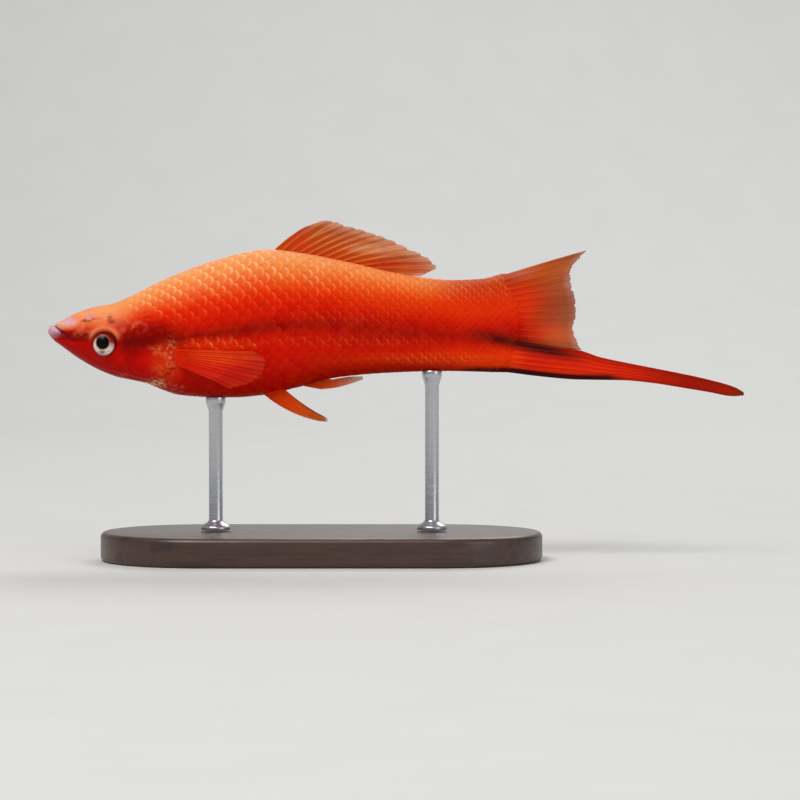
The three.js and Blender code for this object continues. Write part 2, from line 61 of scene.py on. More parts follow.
BACK = [
    [0, 12.3], [1.7, 12.75], [4.1, 14.25], [7.9, 15.6], [11.3, 16.25], [14.4, 17.6], [20.9, 20.7],
    [27.8, 23.3], [34.7, 25.1], [38, 25.5], [43.3, 24.9], [52.1, 23.2], [60.8, 21.3],
    [69.6, 20.3], [75, 20.55], [79, 21.45],
]
BELLY = [
    [0, 10.5], [2, 9.1], [5.5, 6.6], [8.9, 4.7], [12.3, 3.4], [15.8, 2.8], [19.2, 1.5], [22.7, 0.4],
    [28, 0.03], [32, 0], [36.8, 0.4], [42.4, 1.6], [49.5, 3.4], [58.2, 4.2], [67.4, 4.5], [79, 4.25],
]
HALF_WIDTH = [
    [0, 1.9], [2, 2.6], [4.1, 3.3], [7, 4.15], [10, 4.8], [13, 5.3], [17.5, 5.9], [24, 6.3], [32, 6.3],
    [40, 5.7], [48, 4.75], [56, 3.8], [64, 3.05], [70, 2.5], [75, 1.9], [79, 1.3],
]
WIDEST = [[0, 0.5], [10, 0.5], [20, 0.5], [32, 0.47], [50, 0.5], [79, 0.5]]
SQUARE_ABOVE = [[0, 2.3], [6, 2.7], [12, 2.5], [20, 2.15], [36, 1.95], [60, 2.05], [79, 2.3]]
SQUARE_BELOW = [[0, 2.1], [10, 1.85], [20, 2.1], [32, 2.2], [46, 1.85], [60, 2.0], [79, 2.3]]
NOSE_ROUND = 1.5
NOSE_HEIGHT = 11.3

# On the head the skin lies HEAD_DEPTH inside the solids, and under the scales SKIN_DEPTH deeper
HEAD_DEPTH = 0.03
SKIN_DEPTH = 0.12
# Faces round the skin, and rings along its parts
SKIN_AROUND = 232
SKIN_RINGS = {"nose": 26, "head": 150, "trunk": 160, "end": 24}
# The skin ends in a thin wedge between the roots of the tail fin
WEDGE = {"start": 71.0, "end": 81.8, "half": 0.1, "bulge": 0.8, "corner": 1.6}

# Head: places as (u, h)
HEAD_END = 24
EYE = {"u": 10.1, "h": 9.3, "radius": 2.3, "deep": 1.5, "sunk": 0.72}
MOUTH_FRONT = (1.3, 12.45)
MOUTH_CORNER = (2.95, 11.15)
NOSTRILS = [(6.6, 13.3), (8.1, 13.5)]
GILL_EDGE = [
    (15.6, 22), (16, 17.5), (17.4, 13.6), (20.4, 11), (22.2, 8.3), (21.6, 5.2), (19.2, 3.1),
    (16.6, 2.2), (15.6, -2),
]
GILL_FRONT = [(16.6, 2.9), (14.3, 5.4), (13.9, 8.5), (15.1, 11.4), (17.2, 12.9)]
# Heights of the head's forms over the plain body, and depths of its lines
LIPS = {"upper": 0.28, "lower": 0.30, "groove": 0.5, "crease": 0.2}
GILL = {"rise": 0.22, "step": 0.20, "front_rise": 0.06, "front_line": 0.08}
NOSTRIL = {"rim": 0.10, "rim_away": 0.48, "hole": 0.42}
CHEEK_FOLD = {"away": 3.75, "depth": 0.08}
THROAT_RIDGES = {"height": 0.05, "apart": 0.75}
# Rim of the eye socket below the eye and above it, and depth of the socket
SOCKET = {"rim": (0.10, 0.46), "away": (2.36, 2.7), "width": (0.24, 0.45), "depth": 1.15}


def mix(a, b, t):
    return a + (b - a) * t


def smooth(low, high, x):
    """0 below low, 1 above high and an even change between them."""
    t = np.clip((x - low) / (high - low), 0, 1)
    return t * t * (3 - 2 * t)


def present(x, start, full, waning, end):
    """0 before start, 1 from full to waning and 0 after end."""
    return smooth(start, full, x) * (1 - smooth(waning, end, x))


def bump(x, width):
    """A rounded bump of height 1 at x = 0."""
    return np.exp(-((x / width) ** 2))


def along(pairs, x):
    """Value at x of the smooth curve through [x, value] pairs, which never overshoots them."""
    knots, values = np.array(pairs, float).T
    rise = np.diff(values) / np.diff(knots)
    total = rise[:-1] + rise[1:]
    same = rise[:-1] * rise[1:] > 0
    inner = np.where(same, 2 * rise[:-1] * rise[1:] / np.where(same, total, 1), 0)
    slopes = np.concatenate([rise[:1], inner, rise[-1:]])
    x = np.clip(x, knots[0], knots[-1])
    i = np.clip(np.searchsorted(knots, x) - 1, 0, len(knots) - 2)
    width = knots[i + 1] - knots[i]
    t = (x - knots[i]) / width
    ease = t * t * (3 - 2 * t)
    bend = t * (1 - t) * width
    even = values[i] + (values[i + 1] - values[i]) * ease
    return even + bend * ((1 - t) * slopes[i] - t * slopes[i + 1])


def sway(u):
    """Sideways sway of the tail at u, away from the left side."""
    t = np.maximum(0, u - SWAY_START) / (TOTAL_LENGTH - SWAY_START)
    return TAIL_SWAY * t * t


def section(u):
    """Half-width, middle, top and bottom of the body's cross-section at u, and how square it is."""
    cap = np.sqrt(np.clip(1 - np.clip(1 - u / NOSE_ROUND, 0, 1) ** 2, 0, 1))
    top = NOSE_HEIGHT + (along(BACK, u) - NOSE_HEIGHT) * cap
    bottom = NOSE_HEIGHT + (along(BELLY, u) - NOSE_HEIGHT) * cap
    middle = mix(bottom, top, along(WIDEST, u))
    half = along(HALF_WIDTH, u) * cap
    return half, middle, top, bottom, along(SQUARE_ABOVE, u), along(SQUARE_BELOW, u)


def body_point(u, angle):
    """Place [u, y, h] on the body at u and an angle, which is 0 on the right flank and a quarter
    turn on the back."""
    half, middle, top, bottom, square_above, square_below = section(u)
    c = np.cos(angle)
    s = np.sin(angle)
    square = np.where(s > 0, square_above, square_below)
    side = np.sign(c) * np.abs(c) ** (2 / square)
    rise = np.sign(s) * np.abs(s) ** (2 / square)
    height = np.where(s > 0, top - middle, middle - bottom)
    return np.stack([u, sway(u) + half * side, middle + height * rise], -1)


def half_width_at(u, h):
    """Half-width of the body at u and height h."""
    half, middle, top, bottom, square_above, square_below = section(u)
    square = np.where(h > middle, square_above, square_below)
    room = np.maximum(np.where(h > middle, top - middle, middle - bottom), 1e-6)
    reach = np.abs(h - middle) / room
    return half * np.maximum(0, 1 - reach ** square) ** (1 / square)


def share_up(u, h):
    """Height as a share of the body's depth at u, 0 on the belly and 1 on the back."""
    low = along(BELLY, u)
    return (h - low) / (along(BACK, u) - low)


def placed(points):
    """Points [u, y, h] on the fish as metres in the model's frame."""
    return (points + np.array([SNOUT_X, 0, BELLY_Z])) * MM


# Meshes

def mesh_from(name, bm):
    """A mesh from a finished bmesh, which is freed."""
    mesh = bpy.data.meshes.new(name)
    bm.to_mesh(mesh)
    bm.free()
    return mesh


def in_scene(name, mesh, material):
    """A smooth-shaded object of the scene from a mesh."""
    mesh.materials.append(material)
    mesh.polygons.foreach_set("use_smooth", np.full(len(mesh.polygons), True))
    made = bpy.data.objects.new(name, mesh)
    bpy.context.scene.collection.objects.link(made)
    return made


def dress(name, mesh, material, replaced=()):
    """A piece of the visual model from a mesh, riding on the one body."""
    piece = in_scene(name, mesh, material)
    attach(piece, "root")
    if replaced:
        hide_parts(*replaced)
    return piece


def places_of(mesh):
    """Places of a mesh's vertices, a row for each."""
    co = np.empty(len(mesh.vertices) * 3)
    mesh.vertices.foreach_get("co", co)
    return co.reshape(-1, 3)


def write_values(mesh, **values):
    """Stores one number a vertex for each name, for the materials to read."""
    for name, numbers in values.items():
        layer = mesh.attributes.new(name, "FLOAT", "POINT")
        layer.data.foreach_set("value", np.asarray(numbers, np.float32))


def outward(bm):
    """Points the faces of a closed bmesh outwards."""
    bmesh.ops.recalc_face_normals(bm, faces=bm.faces)


def turn_outward(mesh):
    """Points the faces of a closed mesh outwards."""
    bm = bmesh.new()
    bm.from_mesh(mesh)
    outward(bm)
    bm.to_mesh(mesh)
    bm.free()


def distance_to_line(line, u, h, steps=90):
    """Signed distance in the side view to a smooth line of points, positive to its rear."""
    points = np.array(line, float)
    share = np.linspace(0, len(points) - 1, steps)
    base = np.arange(len(points))
    curve_u = along(np.stack([base, points[:, 0]], -1), share)
    curve_h = along(np.stack([base, points[:, 1]], -1), share)
    away_u = u[:, None] - curve_u
    away_h = h[:, None] - curve_h
    apart = np.hypot(away_u, away_h)
    near = apart.argmin(1)
    rows = np.arange(len(u))
    step_u = np.gradient(curve_u)[near]
    step_h = np.gradient(curve_h)[near]
    cross = away_u[rows, near] * -step_h + away_h[rows, near] * step_u
    return apart[rows, near] * np.sign(cross)


def mouth_relief(u, h):
    """The lips on either side of the mouth line, which is straight in the side view."""
    run = np.array(MOUTH_CORNER) - np.array(MOUTH_FRONT)
    length = np.hypot(*run)
    back, down = run / length
    way = (u - MOUTH_FRONT[0]) * back + (h - MOUTH_FRONT[1]) * down
    across = (u - MOUTH_FRONT[0]) * -down + (h - MOUTH_FRONT[1]) * back
    reach = 1 - smooth(length * 0.75, length * 1.25, way)
    upper = reach * LIPS["upper"] * bump(across - 0.85, 0.62)
    lower = reach * (1 - smooth(0.2, 1.6, way)) * LIPS["lower"] * bump(across + 0.62, 0.55)
    groove = reach * LIPS["groove"] * bump(across, 0.16)
    crease = LIPS["crease"] * bump(across + 0.05, 0.3) * present(way, length * 0.6, length, 3.0, 5.0)
    return upper + lower - groove - crease


def eye_relief(u, h):
    """A raised rim, heavier above, round the sunken socket."""
    away = np.hypot(u - EYE["u"], h - EYE["h"])
    above = smooth(-0.6, 2.2, h - EYE["h"])
    at_rim = bump(away - mix(*SOCKET["away"], above), mix(*SOCKET["width"], above))
    return mix(*SOCKET["rim"], above) * at_rim - SOCKET["depth"] * (1 - smooth(1.8, 2.22, away))


def gill_relief(u, h):
    """The cover stands up before its free edge, the flank lies low behind it, and a line marks
    its front."""
    edge = distance_to_line(GILL_EDGE, u, h)
    front = distance_to_line(GILL_FRONT[::-1], u, h)
    open_part = (1 - smooth(10.5, 13.5, h)) * (u > 12) * smooth(1.4, 4.2, h)
    out = open_part * GILL["rise"] * present(edge, -4.5, -0.5, -0.35, 0.25)
    out -= open_part * GILL["step"] * bump(edge - 0.35, 0.4) * (edge > 0)
    low = (1 - smooth(11.5, 13.2, h)) * (u < HEAD_END) * smooth(3.0, 4.6, h)
    at_front = GILL["front_rise"] * bump(front + 0.5, 0.4) - GILL["front_line"] * bump(front, 0.25)
    return out + low * at_front


def head_relief(u, h):
    """Height of the head's own forms over the plain body."""
    out = mouth_relief(u, h) + eye_relief(u, h) + gill_relief(u, h)
    for nostril_u, nostril_h in NOSTRILS:
        away = np.hypot(u - nostril_u, (h - nostril_h) * 1.2)
        out += NOSTRIL["rim"] * bump(away - NOSTRIL["rim_away"], 0.16) - NOSTRIL["hole"] * bump(away, 0.25)
    under_eye = np.hypot(u - EYE["u"], h - EYE["h"] - 0.6)
    fold = CHEEK_FOLD["depth"] * bump(under_eye - CHEEK_FOLD["away"], 0.25)
    out -= fold * (h < EYE["h"] - 0.5)
    throat = present(u, 9, 12, 17, 20) * (1 - smooth(4.4, 5.6, h))
    ridges = np.sin(2 * math.pi * (h + 0.25 * u) / THROAT_RIDGES["apart"])
    out += throat * THROAT_RIDGES["height"] * ridges
    return out * (1 - smooth(HEAD_END, HEAD_END + 2, u))


# Markings that need the fish's outline are worked out with the mesh

# Under seen: where a stripe starts, is full, starts to fade and ends
UPPER_STRIPE = {
    "start": (75.3, 10.55), "slope": -0.225, "half": 1.08, "strength": 0.97,
    "seen": (70.0, 78.5, 86, 94.5),
}
LOWER_STRIPE = {"wide": 1.05, "seen": (68.5, 74.5, 96, 100.5)}


def lower_edge(u):
    """Height of the fish's lower outline at u, on the body and then on the sword."""
    return np.where(u < BODY_LENGTH, along(BELLY, u), along(SWORD_BOTTOM, u))


def dark_marks(u, h):
    """1 on the dark stripe over the sword and on the black line under it."""
    start_u, start_h = UPPER_STRIPE["start"]
    line = start_h + UPPER_STRIPE["slope"] * (u - start_u)
    fade = present(u, *UPPER_STRIPE["seen"])
    upper = UPPER_STRIPE["strength"] * fade * bump(h - line, UPPER_STRIPE["half"])
    fade = present(u, *LOWER_STRIPE["seen"])
    wide = LOWER_STRIPE["wide"] * mix(0.45, 1, fade)
    lower = fade * (1 - smooth(0.55 * wide, 1.2 * wide, h - lower_edge(u)))
    return np.clip(upper + lower, 0, 1)


def narrowed(u, spread, h, spare=0.0):
    """The body's end thins out into the fins: sideways place, shift to the rear and height as a
    share of the body's depth, at u and height h."""
    share = np.clip((u - WEDGE["start"]) / (WEDGE["end"] - WEDGE["start"]), 0, 1) ** 1.7
    thin = mix(1, (WEDGE["half"] + spare) / along(HALF_WIDTH, BODY_LENGTH), share)
    up = share_up(np.minimum(u, BODY_LENGTH), h)
    off_middle = (2 * up - 1) ** 2
    return spread * thin, share * mix(WEDGE["bulge"], -WEDGE["corner"], off_middle), up


def skin_stations():
    """Distances behind the snout of the skin's rings, closest on the head."""
    count = SKIN_RINGS
    nose = NOSE_ROUND * (1 - np.cos(np.linspace(0, math.pi / 2, count["nose"], endpoint=False)))
    head = np.linspace(NOSE_ROUND, HEAD_END, count["head"], endpoint=False)
    trunk = np.linspace(HEAD_END, WEDGE["start"], count["trunk"], endpoint=False)
    turn = np.linspace(0, math.pi / 2, count["end"])
    end = WEDGE["start"] + (WEDGE["end"] - WEDGE["start"]) * np.sin(turn)
    return np.concatenate([nose, head, trunk, end])


def make_skin(material):
    """One closed skin over the head, gill covers, trunk and tail stem."""
    stations = skin_stations()
    rings = len(stations) - 1
    bm = bmesh.new()
    bmesh.ops.create_uvsphere(bm, u_segments=SKIN_AROUND, v_segments=rings, radius=1)
    mesh = mesh_from("skin", bm)
    ball = places_of(mesh)
    ring = np.rint(np.arccos(np.clip(-ball[:, 2], -1, 1)) / math.pi * rings).astype(int)
    angle = np.arctan2(ball[:, 1], ball[:, 0])
    u = stations[ring]
    point = body_point(u, angle)
    # Outward direction across the body, good enough for shallow relief
    half, middle, top, bottom, _, _ = section(u)
    out_y = (point[:, 1] - sway(u)) / np.maximum(half, 0.3) ** 1.6
    out_h = (point[:, 2] - middle) / np.maximum(top - bottom, 0.6) ** 1.6
    size = np.maximum(np.hypot(out_y, out_h), 1e-6)
    nose = np.clip(1 - u / NOSE_ROUND, 0, 1)
    outward_dir = np.stack([-nose, out_y / size * (1 - nose), out_h / size * (1 - nose)], -1)
    flank_u = point[:, 0].copy()
    flank_h = point[:, 2].copy()
    sunk = SKIN_DEPTH * smooth(12, 20, u) + HEAD_DEPTH
    point += outward_dir * (head_relief(flank_u, flank_h) - sunk)[:, None]
    last = ring == rings
    point[last, 1:] = np.stack([sway(u[last]), middle[last]], -1)
    spread, shift, up = narrowed(u, point[:, 1] - sway(u), point[:, 2])
    point[:, 1] = sway(u) + spread
    point[:, 0] += shift
    mesh.vertices.foreach_set("co", placed(point).ravel())
    # painted highlight on the raised rim of the socket above the eye, which the skin's material reads
    brow = eye_relief(flank_u, flank_h) * smooth(0.2, 1.8, flank_h - EYE["h"])
    write_values(
        mesh,
        up=up,
        back=u / BODY_LENGTH,
        brow=np.clip(brow / 0.4, 0, 1),
        # painted shade in the mouth's groove, which the skin's material reads
        groove=np.clip(-mouth_relief(flank_u, flank_h) / 0.3, 0, 1),
        dark=dark_marks(point[:, 0], point[:, 2]),
    )
    turn_outward(mesh)
    dress("skin", mesh, material,
          ("head", "lower_jaw", "gill_cover_left", "gill_cover_right", "trunk", "tail_stem"))


# Scales

# Rows from the back to the belly, and the distance from scale to scale along a row
SCALE_ROWS = 25
SCALE_PITCH = [[10, 1.9], [18, 2.15], [40, 2.1], [60, 1.65], [80, 1.3]]
SCALE_START = 11.5
SCALE_END = 80.2
# Height of the free edges over the plain body, and its share on the lower half
SCALE_LIFT = [[11, 0.04], [19, 0.13], [40, 0.14], [60, 0.10], [72, 0.06], [81, 0.015]]
LOW_SCALE_LIFT = 0.5
# A plate's half-length in pitches and half-width in rows. Its root lies this much higher than
# SKIN_DEPTH inside the solids, and its smaller underside this much deeper.
PLATE = {"long": 0.78, "wide": 1.16, "root": 0.02, "under_size": 0.9, "under_deep": 0.16}
SCALE_RIM = 12
SCALE_RINGS = (0.6, 0.9, 1.0)


def arc_table():
    """Angles round the body, from the back down the left flank, at even shares of the way to
    the belly."""
    stations = np.linspace(1.0, BODY_LENGTH + 2.5, 170)
    fine = np.linspace(math.pi / 2, 3 * math.pi / 2, 400)
    shares = np.linspace(0, 1, 161)
    table = np.empty((len(stations), len(shares)))
    for i, u in enumerate(stations):
        ring = body_point(np.full_like(fine, u), fine)
        steps = np.hypot(np.diff(ring[:, 1]), np.diff(ring[:, 2]))
        way = np.concatenate([[0], np.cumsum(steps)])
        table[i] = np.interp(shares, way / way[-1], fine)
    return stations, shares, table


ARC_STATIONS, ARC_SHARES, ARC_ANGLES = arc_table()


def surface_point(u, girth, lift):
    """Place on the body at u and a share of the way round, 0 on the back, 1 on the belly and on
    to 2, and its height as a share of the body's depth."""
    left = girth % 2.0
    mirrored = left > 1
    share = np.where(mirrored, 2 - left, left)
    stations = len(ARC_STATIONS)
    shares = len(ARC_SHARES)
    row = np.clip(np.interp(u, ARC_STATIONS, np.arange(stations)), 0, stations - 1.001)
    column = np.clip(share * (shares - 1), 0, shares - 1.001)
    r = row.astype(int)
    c = column.astype(int)
    fr = row - r
    fc = column - c
    upper = mix(ARC_ANGLES[r, c], ARC_ANGLES[r, c + 1], fc)
    lower = mix(ARC_ANGLES[r + 1, c], ARC_ANGLES[r + 1, c + 1], fc)
    angle = mix(upper, lower, fr)
    point = body_point(u, angle)
    # Step out square to the surface, seen across the body
    near = body_point(u, angle + 0.02) - body_point(u, angle - 0.02)
    size = np.maximum(np.hypot(near[:, 1], near[:, 2]), 1e-6)
    point[:, 1] += lift * near[:, 2] / size
    point[:, 2] -= lift * near[:, 1] / size
    spread, shift, up = narrowed(u, point[:, 1] - sway(u), point[:, 2], 0.04)
    point[:, 1] = sway(u) + spread * np.where(mirrored, -1.0, 1.0)
    point[:, 0] += shift
    return point, up


def scale_places():
    """Roots of the scales as [u, share of the way round], in staggered rows."""
    places = []
    columns = [SCALE_START]
    while columns[-1] < SCALE_END:
        columns.append(columns[-1] + float(along(SCALE_PITCH, columns[-1])))
    columns = np.array(columns)
    for row in range(2 * SCALE_ROWS):
        shift = 0.5 if row % 2 else 0.0
        us = np.interp(np.arange(len(columns) - 1) + shift, np.arange(len(columns)), columns)
        places += [(u, row / SCALE_ROWS) for u in us]
    return np.array(places)


def keep_scales(places):
    """Leaves out the scales that would lie on the head, the gill covers or past the tail root."""
    u = places[:, 0]
    point, up = surface_point(u, places[:, 1], np.zeros(len(places)))
    edge = distance_to_line(GILL_EDGE, point[:, 0], point[:, 2])
    nape = (point[:, 2] > 12.2) & (u > 12.5 + 7 * (1 - smooth(0.6, 0.9, up)))
    behind = edge > 0.55
    on_body = u < 77.6 + 2.4 * (1 - (2 * up - 1) ** 2)
    return places[(nape | behind) & on_body]


def plate_shape():
    """A scale's plate as rows of (way back, way across, ring) and its triangles; the last rows
    are its underside."""
    # Angles round a plate, closer along its free rear edge
    turn = np.linspace(-math.pi, math.pi, SCALE_RIM, endpoint=False)
    turn = turn - 0.45 * np.sin(turn)
    shape = [(0.0, 0.0, 0.0)]
    for ring in SCALE_RINGS:
        shape += [(ring * math.cos(a), ring * math.sin(a), ring) for a in turn]
    under_size = PLATE["under_size"]
    shape += [(under_size * math.cos(a), under_size * math.sin(a), 1.0) for a in turn]
    shape += [(0.0, 0.0, 0.0)]
    pairs = [(k, (k + 1) % SCALE_RIM) for k in range(SCALE_RIM)]
    faces = [[0, 1 + k2, 1 + k] for k, k2 in pairs]
    for ring in range(len(SCALE_RINGS)):
        first = 1 + ring * SCALE_RIM
        for k, k2 in pairs:
            a, b = first + k, first + k2
            faces += [[a, b + SCALE_RIM, a + SCALE_RIM], [a, b, b + SCALE_RIM]]
    under = 1 + len(SCALE_RINGS) * SCALE_RIM
    faces += [[len(shape) - 1, under + k, under + k2] for k, k2 in pairs]
    return np.array(shape), np.array(faces)


def make_scales(name, places, material, rng):
    """One joined mesh of closed scale plates, each a thin tilted disc whose root lies in the skin."""
    count = len(places)
    shape, faces = plate_shape()
    back, across, ring = shape.T
    root_u = places[:, 0:1]
    root_girth = places[:, 1:2]
    on_right = root_girth > 1
    grown = rng.uniform(0.94, 1.06, (count, 1))
    u = root_u + along(SCALE_PITCH, places[:, 0])[:, None] * (PLATE["long"] * back[None, :] * grown)
    girth = root_girth + (PLATE["wide"] / SCALE_ROWS) * across[None, :] * grown
    lift_size = along(SCALE_LIFT, places[:, 0])[:, None] * rng.uniform(0.85, 1.15, (count, 1))
    from_back = np.where(on_right, 2 - root_girth, root_girth)
    lift_size = lift_size * mix(1, LOW_SCALE_LIFT, smooth(0.35, 0.6, from_back))
    tilt = smooth(-0.9, 0.95, back)[None, :]
    round_edge = 1 - 0.5 * smooth(0.85, 1.0, ring)[None, :]
    lift = lift_size * tilt * round_edge - SKIN_DEPTH + PLATE["root"]
    below = np.arange(len(shape)) > SCALE_RIM * len(SCALE_RINGS)
    lift = np.where(below[None, :], -SKIN_DEPTH - PLATE["under_deep"], lift)
    point, up = surface_point(u.ravel(), girth.ravel(), lift.ravel())
    every_face = (faces[None] + np.arange(count)[:, None, None] * len(shape)).reshape(-1, 3)
    mesh = bpy.data.meshes.new(name)
    mesh.from_pydata(placed(point), [], every_face)
    edge = np.where(back > 0, ring, ring * 0.5) * np.clip(0.35 + back, 0, 1)
    # The upper half of each free edge gets more painted highlight than the lower half, as if lit from above
    above = np.where(on_right, across[None, :], -across[None, :])
    write_values(
        mesh,
        up=up,
        back=u.ravel() / BODY_LENGTH,
        rim=np.tile(edge, count),
        above=smooth(-0.9, 0.5, above).ravel(),
        root=np.tile(np.clip(-back, 0, 1), count),
        dark=dark_marks(point[:, 0], point[:, 2]),
        speck=np.repeat(rng.random(count), len(shape)),
    )
    # Each plate is a small patch at its root's place on an unwrap of the body
    uv = mesh.uv_layers.new(name="OFBake")
    centre = np.stack([0.02 + 0.96 * places[:, 0] / (BODY_LENGTH + 2), 0.02 + 0.48 * places[:, 1]], -1)
    spot = centre[:, None, :] + 0.0015 * np.stack([back, across], -1)[None]
    uv.data.foreach_set("uv", spot.reshape(-1, 2)[every_face.ravel()].ravel())
    dress(name, mesh, material)


# Fins

def ray_point(root, bend, tip, t):
    """A ray that leaves its root, passes a bend and ends at its tip."""
    a = (1 - t) ** 2
    b = 2 * t * (1 - t)
    c = t * t
    return a * root[0] + b * bend[0] + c * tip[0], a * root[1] + b * bend[1] + c * tip[1]


def fan_point(s, t, root, tips, bend):
    """A place on a fan of bent rays. tips are curves of u and h over the share s across the rays,
    and bend is how far out, in u and in h, the rays pass their bend."""
    tip = [along(curve, s) for curve in tips]
    turn = [mix(root[k], tip[k], bend[k]) for k in (0, 1)]
    return ray_point(root, turn, tip, t)


def waves(s, t, sizes):
    """Sideways waves of a fin that grow towards its edge; sizes are pairs of a height and the
    angle that the wave runs through across the fin."""
    return sum(height * t * t * np.sin(angle * s) for height, angle in sizes)


def ray_ridges(s, t, rays):
    """How much of a place on a fin is ray, whose branches part twice on the way out."""
    place = s * (rays - 1)
    off = np.abs(place - np.rint(place))
    off = np.abs(off - 0.15 * smooth(0.35, 0.75, t))
    off = np.abs(off - 0.06 * smooth(0.68, 1.0, t))
    width = mix(0.17, 0.075, smooth(0.25, 0.9, t))
    return bump(off, width)


# Share of a fin's length over which its root thickens out of the body
ROOT_TAPER = 0.12
# Joints along a ray, and steps of the frayed edge from ray to ray
RAY_JOINTS = 34
FRAY_STEPS = 8


def make_fin(name, material, rays, spot, middle, membrane, ridge, fray, seed,
             early=False, root=-0.06, columns_per_ray=14, rows=72):
    """A thin closed fin in the place of the node of that name. spot gives (u, h) and middle gives
    y from the share s across the rays and t along them. membrane and ridge are half-thicknesses
    at the root and the edge, and early has them thin out near the root."""
    rng = np.random.default_rng(seed)
    columns = (rays - 1) * columns_per_ray
    bm = bmesh.new()
    bmesh.ops.create_grid(bm, x_segments=columns, y_segments=rows, size=0.5)
    for v in bm.verts:
        v.co.z = 0
    made = bmesh.ops.extrude_face_region(bm, geom=bm.faces[:])
    for v in made["geom"]:
        if isinstance(v, bmesh.types.BMVert):
            v.co.z = 1
    mesh = mesh_from(name + "_rays", bm)
    grid = places_of(mesh)
    s = grid[:, 0] + 0.5
    reach = grid[:, 1] + 0.5
    side = grid[:, 2] * 2 - 1
    across = np.clip(s, 0, 1)
    notch = ray_ridges(across, np.ones_like(s), rays)
    steps = FRAY_STEPS * rays
    ragged = np.interp(s, np.linspace(-0.05, 1.05, steps), rng.uniform(0, 1, steps))
    length = 1 - fray * (0.55 * (1 - notch) + 0.6 * ragged)
    t = mix(root, 1, reach) * mix(1, length, smooth(0.6, 1.0, reach))
    out = np.clip(t, 0, 1)
    ray = ray_ridges(across, out, rays)
    thinning = np.sqrt(out) if early else out
    joints = 0.5 + 0.5 * np.cos(2 * math.pi * t * RAY_JOINTS)
    thick = mix(mix(*membrane, thinning), mix(*ridge, thinning), ray)
    thick = thick * mix(1, 0.94, joints * ray * (t > 0.15))
    to_side = np.minimum(grid[:, 0] + 0.5, 0.5 - grid[:, 0]) * columns
    at_edge = np.minimum(to_side, (1 - reach) * rows)
    thick = thick * mix(0.35, 1, smooth(0, 2.5, at_edge)) * mix(0.1, 1, smooth(root, root + ROOT_TAPER, t))
    u, h = spot(s, t)
    y = middle(u, h, s, t) + side * thick
    mesh.vertices.foreach_set("co", placed(np.stack([u, y, h], -1)).ravel())
    on_body = np.minimum(u, BODY_LENGTH)
    write_values(
        mesh,
        ray=ray,
        reach=out,
        across=across,
        dark=dark_marks(u, h),
        up=share_up(on_body, h),
        back=on_body / BODY_LENGTH,
    )
    turn_outward(mesh)
    dress(name + "_rays", mesh, material, (name,))


DORSAL = {"start": 38.5, "end": 55.8, "rays": 13, "sunk": 0.5}
DORSAL_WAVES = ((0.5, 5), (0.12, 21))
DORSAL_TIP_U = [
    [0, 44.2], [0.1, 48.2], [0.2, 51.2], [0.35, 54.6], [0.55, 58.8], [0.72, 62.8], [0.86, 66.4],
    [0.93, 67], [1, 64.2],
]
DORSAL_TIP_H = [
    [0, 29.4], [0.1, 30.6], [0.2, 29.7], [0.35, 28.8], [0.55, 27.3], [0.72, 25.4], [0.86, 23.4],
    [0.93, 22.2], [1, 20.9],
]


def make_dorsal(material):
    def spot(s, t):
        root_u = mix(DORSAL["start"], DORSAL["end"], s)
        root = (root_u, along(BACK, root_u) - DORSAL["sunk"])
        return fan_point(s, t, root, (DORSAL_TIP_U, DORSAL_TIP_H), (0.42, mix(0.56, 0.7, s)))

    def middle(u, h, s, t):
        return sway(u) + waves(s, t, DORSAL_WAVES)

    make_fin("dorsal_fin", material, DORSAL["rays"], spot, middle,
             membrane=(0.14, 0.07), ridge=(0.34, 0.14), fray=0.05, seed=3)


TAIL = {"top": 21.3, "bottom": 9.7, "rays": 13, "root": 78.9}
TAIL_TIP_U = [
    [0, 92.8], [0.09, 91.3], [0.18, 90], [0.32, 90.1], [0.48, 90.9], [0.62, 91], [0.8, 90.5],
    [1, 91.9],
]
TAIL_TIP_H = [
    [0, 25.4], [0.09, 23.7], [0.18, 21.9], [0.32, 19.6], [0.48, 16.9], [0.62, 14.5], [0.8, 11.8],
    [1, 8.15],
]
TAIL_WAVES = ((0.45, 4), (0.1, 26))


def make_tail_fin(material):
    def spot(s, t):
        root = (TAIL["root"], mix(TAIL["top"], TAIL["bottom"], s))
        return fan_point(s, t, root, (TAIL_TIP_U, TAIL_TIP_H), (0.5, mix(0.53, 0.5, s)))

    def middle(u, h, s, t):
        return sway(u) + waves(s, t, TAIL_WAVES)

    make_fin("tail_fin", material, TAIL["rays"], spot, middle,
             membrane=(0.42, 0.06), ridge=(0.6, 0.12), fray=0.035, seed=5, early=True, root=-0.1)


SWORD_TOP = [
    [79, 9.65], [85.4, 8.95], [91.2, 8.2], [94.9, 7.0], [99, 6.1], [103.8, 5.15], [108.6, 4.2],
    [113.4, 3.15], [118.3, 1.75], [120, 0.8],
]
SWORD_BOTTOM = [
    [79, 4.35], [86, 3.5], [91, 3.1], [99, 2.95], [103.8, 2.5], [108.6, 1.75], [113.4, 0.95],
    [118.3, 0.15], [120, 0.3],
]
SWORD_RAYS = 7


def make_sword(material):
    def spot(s, t):
        u = mix(BODY_LENGTH + 0.3, TOTAL_LENGTH - 0.05, t)
        return u, mix(along(SWORD_TOP, u), along(SWORD_BOTTOM, u), s)

    def middle(u, h, s, t):
        return sway(u)

    make_fin("sword", material, SWORD_RAYS, spot, middle,
             membrane=(0.5, 0.12), ridge=(0.72, 0.2), fray=0.0, seed=7, early=True, root=-0.035,
             columns_per_ray=12, rows=150)


PECTORAL = {
    "rays": 12, "top_root": (22.4, 8.5), "bottom_root": (22.4, 5.7), "flare": 1.4, "off_skin": 0.62,
    "sunk": 0.75, "wave": (0.06, 30),
}
PECTORAL_TIP_U = [[0, 36], [0.25, 38], [0.5, 37.5], [0.75, 35.4], [1, 31.8]]
PECTORAL_TIP_H = [[0, 8.1], [0.25, 6.6], [0.5, 4.6], [0.75, 2.7], [1, 1.7]]


